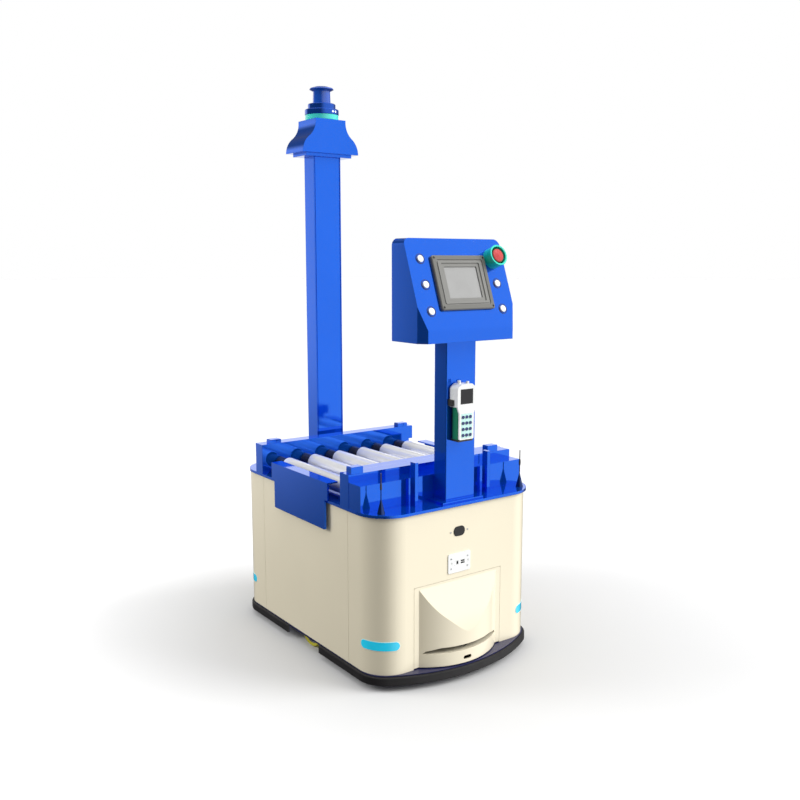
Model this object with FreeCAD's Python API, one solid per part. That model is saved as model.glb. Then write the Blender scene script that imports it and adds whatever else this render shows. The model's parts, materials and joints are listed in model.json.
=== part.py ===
import FreeCAD, Part
import math
import os

# Autonomous mobile robot: a cream body shell on a navy base, a blue deck with six conveyor
# rollers, a control head on a front post and a scanner on a rear mast.
# Millimetres. The origin is on the floor under the middle of the base, the front faces -Y,
# left and right (-X and +X) are as seen from the front, and +Z is up.

V = FreeCAD.Vector

# ---- clearances ----
FIT = 0.05                  # radial, a shaft or spigot in its bearing
GAP = 0.3                   # between pieces that move past each other
SEAM = 0.8                  # open joint between neighbouring covers
REACH = 2000.0              # longer than the robot, for cutting tools

# ---- base ----
GROUND_CLEAR = 39.0
BASE_THICK = 6.0
BASE_OVERHANG = 56.0        # middle of each bowed end, beyond the covers
BOW_RADIUS = 500.0
BLEND_RADIUS = 80.0
RIM_BOTTOM = 22.0
RIM_WALL = 3.0
BUMPER_THICK = 8.0
BUMPER_BOTTOM = 18.0
BUMPER_HEIGHT = 24.0
BUMPER_ROUND = 3.0
WHEEL_GATE = 95.0           # half length of the gap in the skirt beside each drive wheel

# ---- body shell ----
DECK_WIDTH = 600.0
DECK_LENGTH = 812.0
DECK_THICK = 8.0
DECK_RADIUS = 100.0
SHELL_INSET = 8.0
REAR_RADIUS = 78.0          # the covers' rear corners are tighter than the deck's
SHELL_WALL = 4.0
SHELL_HEIGHT = 451.0
SEAM_Y = 250.0

# ---- chassis ----
TUBE = 30.0
TUBE_WALL = 3.0
UPRIGHT_Y = 180.0
END_UPRIGHT_INSET = 112.0   # end uprights, in from the covers' sides

# ---- drive wheels and their units ----
WHEEL_RADIUS = 62.5
WHEEL_WIDTH = 40.0
WHEEL_INSET = 22.0          # outer face of the wheel, in from the covers' sides
WHEEL_BORE = 8.0
WHEEL_HUB = 20.0
WHEEL_DISH = (14.0, 12.0)   # inner and outer face
TYRE_THICK = 11.0
GATE_LENGTH = 150.0
GATE_MARGIN = 12.0
MOTOR_RADIUS = 29.0
MOTOR_LENGTH = 82.0
GEARBOX_SIZE = 58.0
GEARBOX_DEPTH = 34.0
BRACKET_GAP = 8.0           # between the wheel and its bracket
BRACKET_THICK = 8.0
BRACKET_HALF = 88.0
BRACKET_TOP = 128.0
BRACKET_SLOPE = 40.0
BRACKET_FOOT = (26.0, 12.0, 7.0)
SHAFT_SHORT = 6.0           # the shaft ends this far inside the wheel's outer face

# ---- casters ----
CASTER_SIDE_INSET = 102.0   # swivel axis, in from the covers' sides
CASTER_END_INSET = 100.0    # swivel axis, in from the covers' ends
CASTER_RADIUS = 30.0
CASTER_WIDTH = 22.0
CASTER_TREAD = 8.0
CASTER_HUB = 12.0
CASTER_DISH = 3.0
CASTER_TRAIL = 18.0
CASTER_PIN = 4.0
FORK_PLATE = 4.0
FORK_GAP = 0.6
FORK_CROWN = (20.0, 6.0)
FORK_HALF = (16.0, 11.0)    # half width of a leg at the crown and at the pin
FORK_DROP = 8.0             # a leg ends this far under the pin
STEM_RADIUS = 8.0
STEM_HEAD = (13.0, 6.0)
BOSS_WALL = 10.0
TURRET_RADIUS = 60.0
TURRET_WALL = 4.0
TURRET_TOP = 86.0
BEARING_HEIGHT = 14.0

# ---- battery and front scanner ----
BATTERY = (240.0, 250.0, 170.0)
BATTERY_Y = 225.0
BATTERY_ROUND = 8.0
LIDAR_RADIUS = 28.0
LIDAR_HEIGHT = 62.0
LIDAR_PROUD = 1.0           # its axis stands this far in front of the covers
LIDAR_BAND = (36.0, 10.0)   # scanning band: its start, and how far under the top it ends
LIDAR_WAIST = 4.0

# ---- nose cover ----
NOSE_X = -10.0
NOSE_WIDTH = 320.0
NOSE_BOTTOM = 48.0
NOSE_TOP = 283.0
NOSE_WALL = 3.5
BULGE_HALF = 143.0
BULGE_DEPTH = 52.0
VISOR_TOP = 276.0
VISOR_KNEE = 160.0
VISOR_ROUND = 180.0
SLOT_BOTTOM = 87.0
SLOT_HEIGHT = 16.0
SLOT_HALF = 136.0
SLOT_SHOULDER = 46.0
SLOT_ROUNDS = (8.0, 40.0)    # at the ends and at the shoulders
PORT_HOLE = (28.0, 11.0)
PORT_HOLE_X = -7.0          # from the nose's middle
PORT_HOLE_Z = 63.0

# ---- front fittings ----
WINDOW = (40.0, 28.0)
WINDOW_Z = 421.0
WINDOW_PROUD = 1.5
WINDOW_ROUND = 12.8
WINDOW_FIT = 0.2
WINDOW_BODY = (4.0, 14.0)   # wider than the lens on each side, and its depth
PORT_PLATE = (82.0, 57.0)
PORT_PLATE_Z = 329.0
PORT_PLATE_THICK = 2.5
PORT_PLATE_ROUND = 5.0
SOCKET = (16.0, 12.0, 1.6)
SOCKET_X = 12.0
JACK_RADIUS = 4.0
JACK_X = 30.0
LIGHT_HEIGHT = 25.0
LIGHT_Z = 129.0
LIGHT_FRONT_REACH = 74.0    # from the covers' side to the light's end on the front
LIGHT_SIDE_REACH = 84.0     # from the covers' front to the light's end on the side
LIGHT_PROUD = 0.8
LIGHT_SEAT = 2.4
LIGHT_FIT = 0.2

# ---- roller deck ----
LANE = (-224.5, 239.0)      # inner faces of the front and the rear rail
RAIL_DEPTH = 44.0
RAIL_HEIGHT = 95.0
RAIL_WALL = 3.0
RAIL_ROUND = 4.0
REAR_RAIL_STEP = 15.0
STEP_HEIGHT = 49.0
DRIVE_COVER_DEPTH = 34.0
DRIVE_COVER_HEIGHT = 34.0
DRIVE_COVER_WALL = 2.0
DRIVE_COVER_INSET = 75.0    # from the deck's left edge
ROLLER_COUNT = 6
ROLLER_INSET = 65.0         # from the deck's side edges to the outer axles
ROLLER_RADIUS = 25.0
ROLLER_WALL = 2.5
ROLLER_LENGTH = 350.0       # the full-diameter tube
ROLLER_HUB = (19.0, 53.0)   # the narrower end hubs
ROLLER_Z = 31.0             # axle height over the deck
PLUG_LENGTH = 12.0
HUB_DISH = (4.0, 5.0, 3.0)  # ring left at the rim, ring left at the axle, depth
AXLE_RADIUS = 6.0
AXLE_OVERHANG = 12.0
RISER_SETBACK = 80.0        # from the deck's front edge
RISER_HEIGHT = 74.0
RISER_WALL = 2.5
RISER_LEFT_INSET = 1.0      # from the deck's left edge
RISER_RIGHT_INSET = 10.0    # from the deck's right edge
BEAM_SENSOR = (40.0, 24.0, 20.0)
REAR_SENSOR_HEIGHT = 13.0
SENSOR_ROUND = 3.0
SENSOR_EYE = (5.0, 1.5)
FRONT_SENSORS = (29.0, 71.0)    # centres of the left and right one, from the deck's edges
REAR_SENSORS = (49.0, 43.0)
BAR = (11.0, 22.0, 124.0)
BAR_X = 133.0
BAR_GAP = 11.0
SKIRT_THICK = 6.0
SKIRT_UPPER_HALF = 166.0
SKIRT_LOWER_HALF = 150.0
SKIRT_DROP = 88.0
SKIRT_RISE = 53.0
SKIRT_FLANGE = 36.0
SKIRT_FLANGE_THICK = 4.0
SKIRT_ROUND = 4.0
ANTENNA_INSET = 44.0        # in from the deck's front and side edges
ANTENNA_HEIGHT = 112.0
ANTENNA_RADII = (11.0, 3.0, 1.5)        # foot, loading coil and whip
ANTENNA_FOOT = (5.0, 34.0, 40.0)        # heights of the foot's rim, its neck and its end
ANTENNA_FLARE = 8.0
DECK_HOLE = 3.4
DECK_HOLE_X = 180.0
DECK_HOLE_INSETS = (91.0, 31.0)     # from the deck's rear edge

# ---- front post and control head ----
POST_X = 6.0
POST_WIDTH = 106.0
POST_DEPTH = 55.0
POST_WALL = 3.0
POST_ROUND = 3.0
POST_TOP = 1000.0
FOOT = (150.0, 70.0, 6.0)
HEAD_HALF = 171.0
CHIN_HALF = 151.5
HEAD_BACK = -286.0
HEAD_BOTTOM = 962.5
HEAD_TOP = 1242.0
CHIN_Y = -425.0
CHIN_SIDE_Y = -402.0
CHIN_TOP = 997.5
FACE_TILT = 20.0            # degrees back from upright
HEAD_WALL = 2.5
HEAD_ROUND = 20.0
HMI = (190.0, 156.0)
HMI_V = 131.0               # centre of the display, up the face from its lower edge
HMI_PROUD = 9.0
HMI_ROUND = 7.0
HMI_BEVEL = 2.5
HMI_GROOVE = (13.0, 17.0, 2.0)      # its edges, in from the frame's edge, and its depth
HMI_RECESS = (27.0, 23.0, 2.5)
HMI_SCREW = (3.2, 7.5, 1.5)         # head radius, distance in from the edges, depth
HMI_BODY = (166.0, 132.0)
HMI_BODY_DEPTH = 30.0
HMI_BODY_GAP = 1.0
SCREEN = (116.0, 90.0)
SCREEN_ROUND = 2.0
SCREEN_SINK = 5.0
SCREEN_THICK = 2.0
BUTTON_U = 128.0
BUTTON_V = (53.0, 128.0, 201.0)
BUTTON_RADIUS = 10.0
BUTTON_PROUD = 3.5
BUTTON_DOME = 0.6
FLANGE_EXTRA = 2.5
FLANGE_THICK = 2.2
ESTOP_U = 128.0
ESTOP_V = 201.0
COLLAR_RADIUS = 30.0
COLLAR_WALL = 5.0
COLLAR_HEIGHT = 33.0
COLLAR_FLOOR = 6.0
ESTOP_STEM = 8.0
ESTOP_FLANGE = (13.0, 3.0)
ESTOP_TIP = (6.0, 10.0)
ESTOP_SHOULDER = 12.0       # height of the stem's shoulder over the face
ESTOP_CAP = 19.5
ESTOP_UNDERCUT = 5.0
ESTOP_FLARE = 8.0
ESTOP_PROUD = 2.0

# ---- handset and its holder ----
HANDSET_X = -5.0
HANDSET_TOP = 845.0
HANDSET_BOTTOM = 689.0
HANDSET_HEAD_HALF = 33.0
HANDSET_GRIP_HALF = 26.0
HANDSET_NECK = (762.0, 781.0)
HANDSET_DEPTH = 34.0
HANDSET_FACE = 5.0
HANDSET_SHOULDER = (14.0, 10.0)     # slope at each top corner, across and down
HANDSET_SCREEN = (45.0, 42.0, 1.0)
HANDSET_SCREEN_Z = 810.0
KNOB_RADIUS = 4.5
KNOB_SEAT = 2.0
KNOBS = ((-14.0, 11.0), (16.0, 7.0))    # place across, height
GRIP_ROUND = 6.0
HOLDER_PLATE = 4.0
HOLDER_HALF = 22.0
HOLDER_TOP = 801.0
HOLDER_FOOT = 6.0
HOLDER_LIP = 4.0            # the foot lip stops this far behind the handset's face
CHEEK_HEIGHT = 18.0
CHEEK_DEPTH = 22.0
KEY_RADIUS = 4.6
KEY_PITCH = (13.0, 17.0)
KEY_TOP_Z = 753.0
KEY_PROUD = 2.0
KEY_MARGIN = (6.6, 9.0)     # mat outside the outer keys' centres
MAT_THICK = 1.5

# ---- mast and scanner ----
MAST_WIDTH = 103.0
MAST_FRONT = 310.0
MAST_DEPTH = 60.0
MAST_WALL = 3.0
MAST_TOP = 1519.0
MAST_GROOVE = 2.0
MAST_LEDGE = 0.5            # the cover strip sits this far inside the channel
MAST_SPINE = 3.0
MAST_FOOT = (170.0, 90.0, 8.0)
MAST_FOOT_GAP = 3.0         # behind the rear rail
MAST_CAP = (173.0, 86.0, 10.0)
HOOD_BOTTOM_HALF = 106.0
HOOD_TOP_HALF = 57.0
HOOD_DEPTH = 111.0
HOOD_HEIGHT = 108.0
HOOD_LIP = 8.0
HOOD_WALL = 3.0
CABLE_HOLE = 18.0
RING_RADIUS = 55.0
RING_HEIGHT = 17.0
SCANNER_RADIUS = 56.5
SCANNER_STEP_RADIUS = 46.0
SCANNER_STEP = 18.0
OPTIC_RADIUS = 30.0
OPTIC_HEIGHT = 40.0
OPTIC_WALL = 2.5
OPTIC_TAPER = 1.5
CAP_RADIUS = 41.0
CAP_HEIGHT = 14.0
CAP_STEPS = (6.0, 3.0, 14.0)    # in from the cap's edge: underside, shoulder, crown
ROTOR_RADIUS = 22.0
ROTOR_FLAT = 6.0
ROTOR_GAPS = (1.0, 6.0)         # under and over the rotor
MIRROR_RISE = 12.0
SPINDLE_RADIUS = 4.0
SPINDLE_SHORT = 12.0

# ---- worked out from the above ----
SHELL_BOTTOM = GROUND_CLEAR + BASE_THICK
SHELL_TOP = SHELL_BOTTOM + SHELL_HEIGHT
DECK_TOP = SHELL_TOP + DECK_THICK
SHELL_X = DECK_WIDTH / 2 - SHELL_INSET
SHELL_Y = DECK_LENGTH / 2 - SHELL_INSET
SHELL_RADIUS = DECK_RADIUS - SHELL_INSET
BASE_REACH = SHELL_Y + BASE_OVERHANG
END_UPRIGHT_X = SHELL_X - END_UPRIGHT_INSET
WHEEL_OUTER_X = SHELL_X - WHEEL_INSET
BRACKET_OUTER_X = WHEEL_OUTER_X - WHEEL_WIDTH - BRACKET_GAP
BRACKET_INNER_X = BRACKET_OUTER_X - BRACKET_THICK
MOTOR_END_X = BRACKET_INNER_X - GEARBOX_DEPTH - MOTOR_LENGTH
CASTER_X = SHELL_X - CASTER_SIDE_INSET
CASTER_Y = SHELL_Y - CASTER_END_INSET
LIDAR_Y = -SHELL_Y - LIDAR_PROUD
RAIL_TOP = DECK_TOP + RAIL_HEIGHT
RISER_FRONT = DECK_LENGTH / 2 - RISER_SETBACK
ROLLER_PITCH = (DECK_WIDTH - 2 * ROLLER_INSET) / (ROLLER_COUNT - 1)
FRONT_RAIL_FACE = LANE[0] - RAIL_DEPTH
REAR_RAIL_FACE = LANE[1] + RAIL_DEPTH
LANE_MIDDLE = (LANE[0] + LANE[1]) / 2
AXLE_Z = DECK_TOP + ROLLER_Z
POST_BACK = -RISER_FRONT
POST_FRONT = POST_BACK - POST_DEPTH
POST_Y = POST_BACK - POST_DEPTH / 2
HANDSET_BACK = POST_FRONT - HOLDER_PLATE - GAP
HANDSET_FRONT = HANDSET_BACK - HANDSET_DEPTH
HOOD_BOTTOM = MAST_TOP + MAST_CAP[2]
HOOD_TOP = HOOD_BOTTOM + HOOD_HEIGHT
MAST_Y = MAST_FRONT + MAST_DEPTH / 2
RING_TOP = HOOD_TOP + RING_HEIGHT
OPTIC_BOTTOM = RING_TOP + 2 * SCANNER_STEP
TILT = math.radians(FACE_TILT)
FACE = FreeCAD.Placement(V(POST_X, CHIN_Y, CHIN_TOP), FreeCAD.Rotation(V(1, 0, 0), 90 - FACE_TILT))

os.makedirs("parts", exist_ok=True)


# ---- drawing helpers ----
def save(name, *solids):
    """Write one named sub-part: a single solid, or a group of separate ones."""
    shape = solids[0] if len(solids) == 1 else Part.makeCompound(list(solids))
    shape.exportStep("parts/" + name + ".step")


def box(x0, x1, y0, y1, z0, z1):
    return Part.makeBox(x1 - x0, y1 - y0, z1 - z0, V(x0, y0, z0))


def rod(radius, start, axis, length):
    return Part.makeCylinder(radius, length, V(*start), V(*axis))


def wire(corners):
    """Closed flat wire through (point, radius) corners, each corner rounded by its radius."""
    count = len(corners)
    spots = [V(*point) for point, radius in corners]
    turns = []
    for i, (point, radius) in enumerate(corners):
        back = (spots[i - 1] - spots[i]).normalize()
        ahead = (spots[(i + 1) % count] - spots[i]).normalize()
        if radius <= 0:
            turns.append((spots[i], None, spots[i]))
            continue
        half = back.getAngle(ahead) / 2
        reach = radius / math.tan(half)
        inward = (back + ahead).normalize()
        middle = spots[i] + inward * (radius / math.sin(half) - radius)
        turns.append((spots[i] + back * reach, middle, spots[i] + ahead * reach))
    edges = []
    for i, (start, middle, end) in enumerate(turns):
        if middle is not None:
            edges.append(Part.Arc(start, middle, end).toShape())
        after = turns[(i + 1) % count][0]
        if end.distanceToPoint(after) > 1e-6:
            edges.append(Part.LineSegment(end, after).toShape())
    return Part.Wire(edges)


def rounded(half_x, half_y, radius, z0, z1, centre=(0, 0), rear=None):
    """Upright slab with a rounded rectangular outline; rear is the +Y corners' own radius."""
    cx, cy = centre
    back = radius if rear is None else rear
    corners = [((cx + sx * half_x, cy + sy * half_y, z0), back if sy > 0 else radius)
               for sx, sy in ((1, 1), (-1, 1), (-1, -1), (1, -1))]
    return Part.Face(wire(corners)).extrude(V(0, 0, z1 - z0))


def along_x(outline, x0, x1):
    """Solid from a (y, z, radius) outline, from x0 to x1."""
    face = Part.Face(wire([((x0, y, z), radius) for y, z, radius in outline]))
    return face.extrude(V(x1 - x0, 0, 0))


def along_y(outline, y0, y1):
    """Solid from an (x, z, radius) outline, from y0 to y1."""
    face = Part.Face(wire([((x, y0, z), radius) for x, z, radius in outline]))
    return face.extrude(V(0, y1 - y0, 0))


def along_z(outline, z0, z1):
    """Solid from an (x, y, radius) outline, from z0 to z1."""
    face = Part.Face(wire([((x, y, z0), radius) for x, y, radius in outline]))
    return face.extrude(V(0, 0, z1 - z0))


def turned(profile, centre=(0, 0, 0)):
    """Solid of revolution about an upright axis, from an (r, z, radius) outline."""
    face = Part.Face(wire([((r, 0, z), radius) for r, z, radius in profile]))
    solid = face.revolve(V(0, 0, 0), V(0, 0, 1), 360)
    solid.translate(V(*centre))
    return solid


def turned_x(profile, centre):
    """Solid of revolution about an axis along X, from an (r, x, radius) outline."""
    solid = turned(profile)
    solid.rotate(V(0, 0, 0), V(0, 1, 0), 90)
    solid.translate(V(*centre))
    return solid


def union(solids):
    return solids[0].multiFuse(list(solids[1:])).removeSplitter()


def mirrored(solid, normal):
    return solid.mirror(V(0, 0, 0), V(*normal))


def four_ways(solid):
    """The solid and its copies in the other three quarters of the plan."""
    pair = [solid, mirrored(solid, (1, 0, 0))]
    return pair + [mirrored(piece, (0, 1, 0)) for piece in pair]


def on_face(solid):
    """Move a solid drawn flat, (u, v, outward), on to the tilted face of the control head."""
    placed = solid.copy()
    placed.transformShape(FACE.toMatrix(), True)
    return placed


# ---- base, chassis and bumper ----
def base_outline(grow, z):
    """Base outline: straight sides and bowed ends, with tangent blends between them."""
    half = SHELL_X + grow
    bow = BOW_RADIUS + grow
    blend = BLEND_RADIUS + grow
    centre = BOW_RADIUS - BASE_REACH
    blend_x = half - blend
    blend_y = math.sqrt((bow - blend) ** 2 - blend_x ** 2) - centre
    away = V(blend_x, blend_y + centre, 0).normalize()
    lean = (away + V(1, 0, 0)).normalize()

    def spot(sx, sy, point):
        return V(sx * point.x, sy * point.y, z)

    side = V(half, blend_y, 0)
    bend = V(blend_x, blend_y, 0) + lean * blend
    meet = away * bow - V(0, centre, 0)
    tip = V(0, BASE_REACH + grow, 0)
    edges = []
    for sy in (1, -1):
        edges.append(Part.LineSegment(spot(sy, -sy, side), spot(sy, sy, side)).toShape())
        edges.append(Part.Arc(spot(sy, sy, side), spot(sy, sy, bend), spot(sy, sy, meet)).toShape())
        edges.append(Part.Arc(spot(sy, sy, meet), spot(sy, sy, tip), spot(-sy, sy, meet)).toShape())
        edges.append(Part.Arc(spot(-sy, sy, meet), spot(-sy, sy, bend), spot(-sy, sy, side)).toShape())
    return Part.Face(Part.Wire(edges))


def base_slab(grow, z0, z1):
    return base_outline(grow, z0).extrude(V(0, 0, z1 - z0))


def channel(x0, x1, y0, y1, z0, z1, open_towards):
    """Square U section: a bar hollowed from the side that open_towards names."""
    low = [x0 + TUBE_WALL, y0 + TUBE_WALL, z0 + TUBE_WALL]
    high = [x1 - TUBE_WALL, y1 - TUBE_WALL, z1 - TUBE_WALL]
    axis = "xyz".index(open_towards[1])
    if open_towards[0] == "+":
        high[axis] += 2 * TUBE_WALL
    else:
        low[axis] -= 2 * TUBE_WALL
    return box(x0, x1, y0, y1, z0, z1).cut(box(low[0], high[0], low[1], high[1], low[2], high[2]))


def base_tray():
    """Base plate with a hanging rim, caster turrets and openings for the drive wheels."""
    plate = base_slab(0, GROUND_CLEAR, SHELL_BOTTOM)
    rim = base_slab(0, RIM_BOTTOM, GROUND_CLEAR).cut(base_slab(-RIM_WALL, RIM_BOTTOM, GROUND_CLEAR))
    rim = rim.cut(box(-REACH, REACH, -WHEEL_GATE, WHEEL_GATE, 0, GROUND_CLEAR))
    drum = rod(TURRET_RADIUS, (CASTER_X, CASTER_Y, SHELL_BOTTOM), (0, 0, 1), TURRET_TOP - SHELL_BOTTOM)
    boss = rod(STEM_RADIUS + BOSS_WALL, (CASTER_X, CASTER_Y, TURRET_TOP), (0, 0, 1), BEARING_HEIGHT)
    well = rod(TURRET_RADIUS - TURRET_WALL, (CASTER_X, CASTER_Y, GROUND_CLEAR), (0, 0, 1),
               TURRET_TOP - TURRET_WALL - GROUND_CLEAR)
    bearing = rod(STEM_RADIUS + FIT, (CASTER_X, CASTER_Y, GROUND_CLEAR), (0, 0, 1), REACH)
    tray = union([plate, rim] + four_ways(union([drum, boss])))
    gate = box(MOTOR_END_X - GATE_MARGIN, WHEEL_OUTER_X + GATE_MARGIN, -GATE_LENGTH / 2, GATE_LENGTH / 2,
               0, SHELL_BOTTOM)
    for tool in four_ways(well) + four_ways(bearing) + [gate, mirrored(gate, (1, 0, 0))]:
        tray = tray.cut(tool)
    return tray


def chassis_frame():
    """Steel channels butted together: eight uprights under a ladder that carries the deck."""
    top0 = SHELL_TOP - TUBE
    side = SHELL_X - SHELL_WALL
    end = SHELL_Y - SHELL_WALL
    half = TUBE / 2
    rail_in = END_UPRIGHT_X - half
    rail_out = END_UPRIGHT_X + half
    cross0 = UPRIGHT_Y - half
    cross1 = UPRIGHT_Y + half
    tubes = four_ways(channel(side - TUBE, side, cross0, cross1, SHELL_BOTTOM, top0, "-x"))
    tubes += four_ways(channel(rail_in, rail_out, end - TUBE, end, SHELL_BOTTOM, top0, "-y"))
    tubes += [channel(x0, x1, -end, end, top0, SHELL_TOP, "-z")
              for x0, x1 in ((-rail_out, -rail_in), (rail_in, rail_out))]
    for y0, y1 in ((-cross1, -cross0), (cross0, cross1)):
        tubes.append(channel(-rail_in, rail_in, y0, y1, top0, SHELL_TOP, "-z"))
    tubes += four_ways(channel(rail_out, side, cross0, cross1, top0, SHELL_TOP, "-z"))
    return tubes


def bumper_rubbers():
    """Rubber strip round each end, with its outer edges rounded."""
    ring = base_slab(BUMPER_THICK, BUMPER_BOTTOM, BUMPER_BOTTOM + BUMPER_HEIGHT)
    outer = [edge for edge in ring.Edges if abs(edge.BoundBox.ZLength) < 1e-6]
    ring = ring.makeFillet(BUMPER_ROUND, outer)
    ring = ring.cut(base_slab(0, BUMPER_BOTTOM - 1, BUMPER_BOTTOM + BUMPER_HEIGHT + 1))
    front = ring.common(box(-REACH, REACH, -REACH, -WHEEL_GATE, 0, REACH))
    return front, mirrored(front, (0, 1, 0))


# ---- drive units and wheels ----
def drive_unit():
    """Right-hand gearmotor on its bracket, with the output shaft that carries the wheel."""
    x0, x1 = BRACKET_INNER_X, BRACKET_OUTER_X
    shoulder = BRACKET_TOP - BRACKET_SLOPE
    half = GEARBOX_SIZE / 2
    low = WHEEL_RADIUS - half
    high = WHEEL_RADIUS + half
    bracket = along_x([(-BRACKET_HALF, SHELL_BOTTOM, 0), (-half, SHELL_BOTTOM, 0), (-half, low, 0),
                       (half, low, 0), (half, SHELL_BOTTOM, 0), (BRACKET_HALF, SHELL_BOTTOM, 0),
                       (BRACKET_HALF, shoulder, 0), (BRACKET_HALF - BRACKET_SLOPE, BRACKET_TOP, 10),
                       (BRACKET_SLOPE - BRACKET_HALF, BRACKET_TOP, 10), (-BRACKET_HALF, shoulder, 0)], x0, x1)
    length, width, thick = BRACKET_FOOT
    foot = box(x0 - length, x0, BRACKET_HALF - width, BRACKET_HALF, SHELL_BOTTOM, SHELL_BOTTOM + thick)
    gearbox = along_x([(-half, low, 5), (half, low, 5), (half, high, 5), (-half, high, 5)],
                      x0 - GEARBOX_DEPTH, x0)
    motor = rod(MOTOR_RADIUS, (MOTOR_END_X, 0, WHEEL_RADIUS), (1, 0, 0), MOTOR_LENGTH)
    shaft = rod(WHEEL_BORE, (x0, 0, WHEEL_RADIUS), (1, 0, 0), WHEEL_OUTER_X - SHAFT_SHORT - x0)
    return union([bracket, gearbox, motor, shaft, foot, mirrored(foot, (0, 1, 0))])


def drive_wheel():
    """Right-hand wheel: dished hub with a moulded tyre."""
    bore = WHEEL_BORE + FIT
    hub = WHEEL_HUB
    web = hub + 4
    rim = WHEEL_RADIUS - TYRE_THICK
    shoulder = rim - 5
    flank = rim - 8
    width = WHEEL_WIDTH
    inner = WHEEL_DISH[0]
    outer = width - WHEEL_DISH[1]
    tread = WHEEL_RADIUS - 3
    profile = [(bore, 0, 0), (hub, 0, 1), (web, inner, 3), (flank, inner, 3), (shoulder, 2, 1),
               (rim, 2, 0), (tread, 0, 0), (WHEEL_RADIUS, 4, 2), (WHEEL_RADIUS, width - 4, 2),
               (tread, width, 0), (rim, width - 2, 0), (shoulder, width - 2, 1), (flank, outer, 3),
               (web, outer, 3), (hub, width - 3, 1), (bore, width - 3, 0)]
    return turned_x(profile, (WHEEL_OUTER_X - WHEEL_WIDTH, 0, WHEEL_RADIUS))


# ---- casters ----
def caster_fork():
    """Swivel fork of the +X +Y caster: stem, crown, two raked legs and the wheel pin."""
    crown_radius, crown_thick = FORK_CROWN
    head_radius, head_thick = STEM_HEAD
    wide, narrow = FORK_HALF
    crown_top = TURRET_TOP - TURRET_WALL - GAP
    crown0 = crown_top - crown_thick
    head0 = TURRET_TOP + BEARING_HEIGHT + GAP
    head1 = head0 + head_thick
    stem = turned([(0, crown_top, 0), (STEM_RADIUS, crown_top, 0), (STEM_RADIUS, head0, 0),
                   (head_radius, head0, 0), (head_radius, head1, 1), (0, head1, 0)], (CASTER_X, CASTER_Y, 0))
    inner = CASTER_WIDTH / 2 + FORK_GAP
    crown = rod(crown_radius, (CASTER_X, CASTER_Y, crown0), (0, 0, 1), crown_thick)
    pin_y = CASTER_Y + CASTER_TRAIL
    foot = CASTER_RADIUS - FORK_DROP
    outline = [(CASTER_Y - wide, crown0, 0), (CASTER_Y + wide, crown0, 0), (pin_y + narrow, foot, 6),
               (pin_y - narrow, foot, 6)]
    legs = [along_x(outline, CASTER_X + x0, CASTER_X + x0 + FORK_PLATE) for x0 in (inner, -inner - FORK_PLATE)]
    pin = rod(CASTER_PIN, (CASTER_X - inner, pin_y, CASTER_RADIUS), (1, 0, 0), 2 * inner)
    return union([stem, crown, pin] + legs)


def caster_wheel():
    half = CASTER_WIDTH / 2
    dish = half - CASTER_DISH
    tyre = CASTER_RADIUS - CASTER_TREAD
    bore = CASTER_PIN + FIT
    side = [(CASTER_HUB - 2, half, 1), (CASTER_HUB, dish, 1), (tyre - 2, dish, 1), (tyre, half, 1),
            (CASTER_RADIUS, half, 4)]
    profile = [(bore, -half, 0)] + [(r, -x, fillet) for r, x, fillet in side] + side[::-1] + [(bore, half, 0)]
    return turned_x(profile, (CASTER_X, CASTER_Y + CASTER_TRAIL, CASTER_RADIUS))


# ---- body shell ----
def shell_slab(grow, z0, z1):
    return rounded(SHELL_X + grow, SHELL_Y + grow, SHELL_RADIUS + grow, z0, z1, rear=REAR_RADIUS + grow)


def corner_lights(grow):
    """Light bars of the four corners, or with grow the pockets that they sit in."""
    half = LIGHT_HEIGHT / 2 + grow
    band = shell_slab(LIGHT_PROUD, LIGHT_Z - half, LIGHT_Z + half)
    band = band.cut(shell_slab(-LIGHT_SEAT - grow, LIGHT_Z - half, LIGHT_Z + half))
    front_x = SHELL_X - LIGHT_FRONT_REACH + LIGHT_HEIGHT / 2
    side_y = SHELL_Y - LIGHT_SIDE_REACH + LIGHT_HEIGHT / 2
    keep = union([box(front_x, REACH, side_y, REACH, 0, REACH),
                  rod(half, (front_x, side_y, LIGHT_Z), (0, 1, 0), REACH),
                  rod(half, (front_x, side_y, LIGHT_Z), (1, 0, 0), REACH)])
    return [band.common(quarter) for quarter in four_ways(keep)]


def nose_opening(grow):
    half = NOSE_WIDTH / 2 + grow
    return box(NOSE_X - half, NOSE_X + half, -REACH, -SHELL_Y + SHELL_WALL + 1, 0, NOSE_TOP + grow)


def window_outline(grow):
    """Rounded outline of the front sensor window, in x and z."""
    half_x = WINDOW[0] / 2 + grow
    half_z = WINDOW[1] / 2 + grow
    return [(NOSE_X + sx * half_x, WINDOW_Z + sz * half_z, WINDOW_ROUND + grow)
            for sx, sz in ((-1, -1), (1, -1), (1, 1), (-1, 1))]


def shell_covers():
    """Front, rear, left and right covers with light pockets and the front openings."""
    ring = shell_slab(0, SHELL_BOTTOM, SHELL_TOP).cut(shell_slab(-SHELL_WALL, SHELL_BOTTOM, SHELL_TOP))
    for pocket in corner_lights(LIGHT_FIT):
        ring = ring.cut(pocket)
    split = SEAM_Y + SEAM / 2
    inside = SEAM_Y - SEAM / 2
    front = ring.common(box(-REACH, REACH, -REACH, -split, 0, REACH)).cut(nose_opening(SEAM))
    front = front.cut(along_y(window_outline(WINDOW_FIT), -SHELL_Y - 1, -SHELL_Y + SHELL_WALL + 1))
    rear = ring.common(box(-REACH, REACH, split, REACH, 0, REACH))
    left = ring.common(box(-REACH, 0, -inside, inside, 0, REACH))
    right = ring.common(box(0, REACH, -inside, inside, 0, REACH))
    return front, rear, left, right


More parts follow.
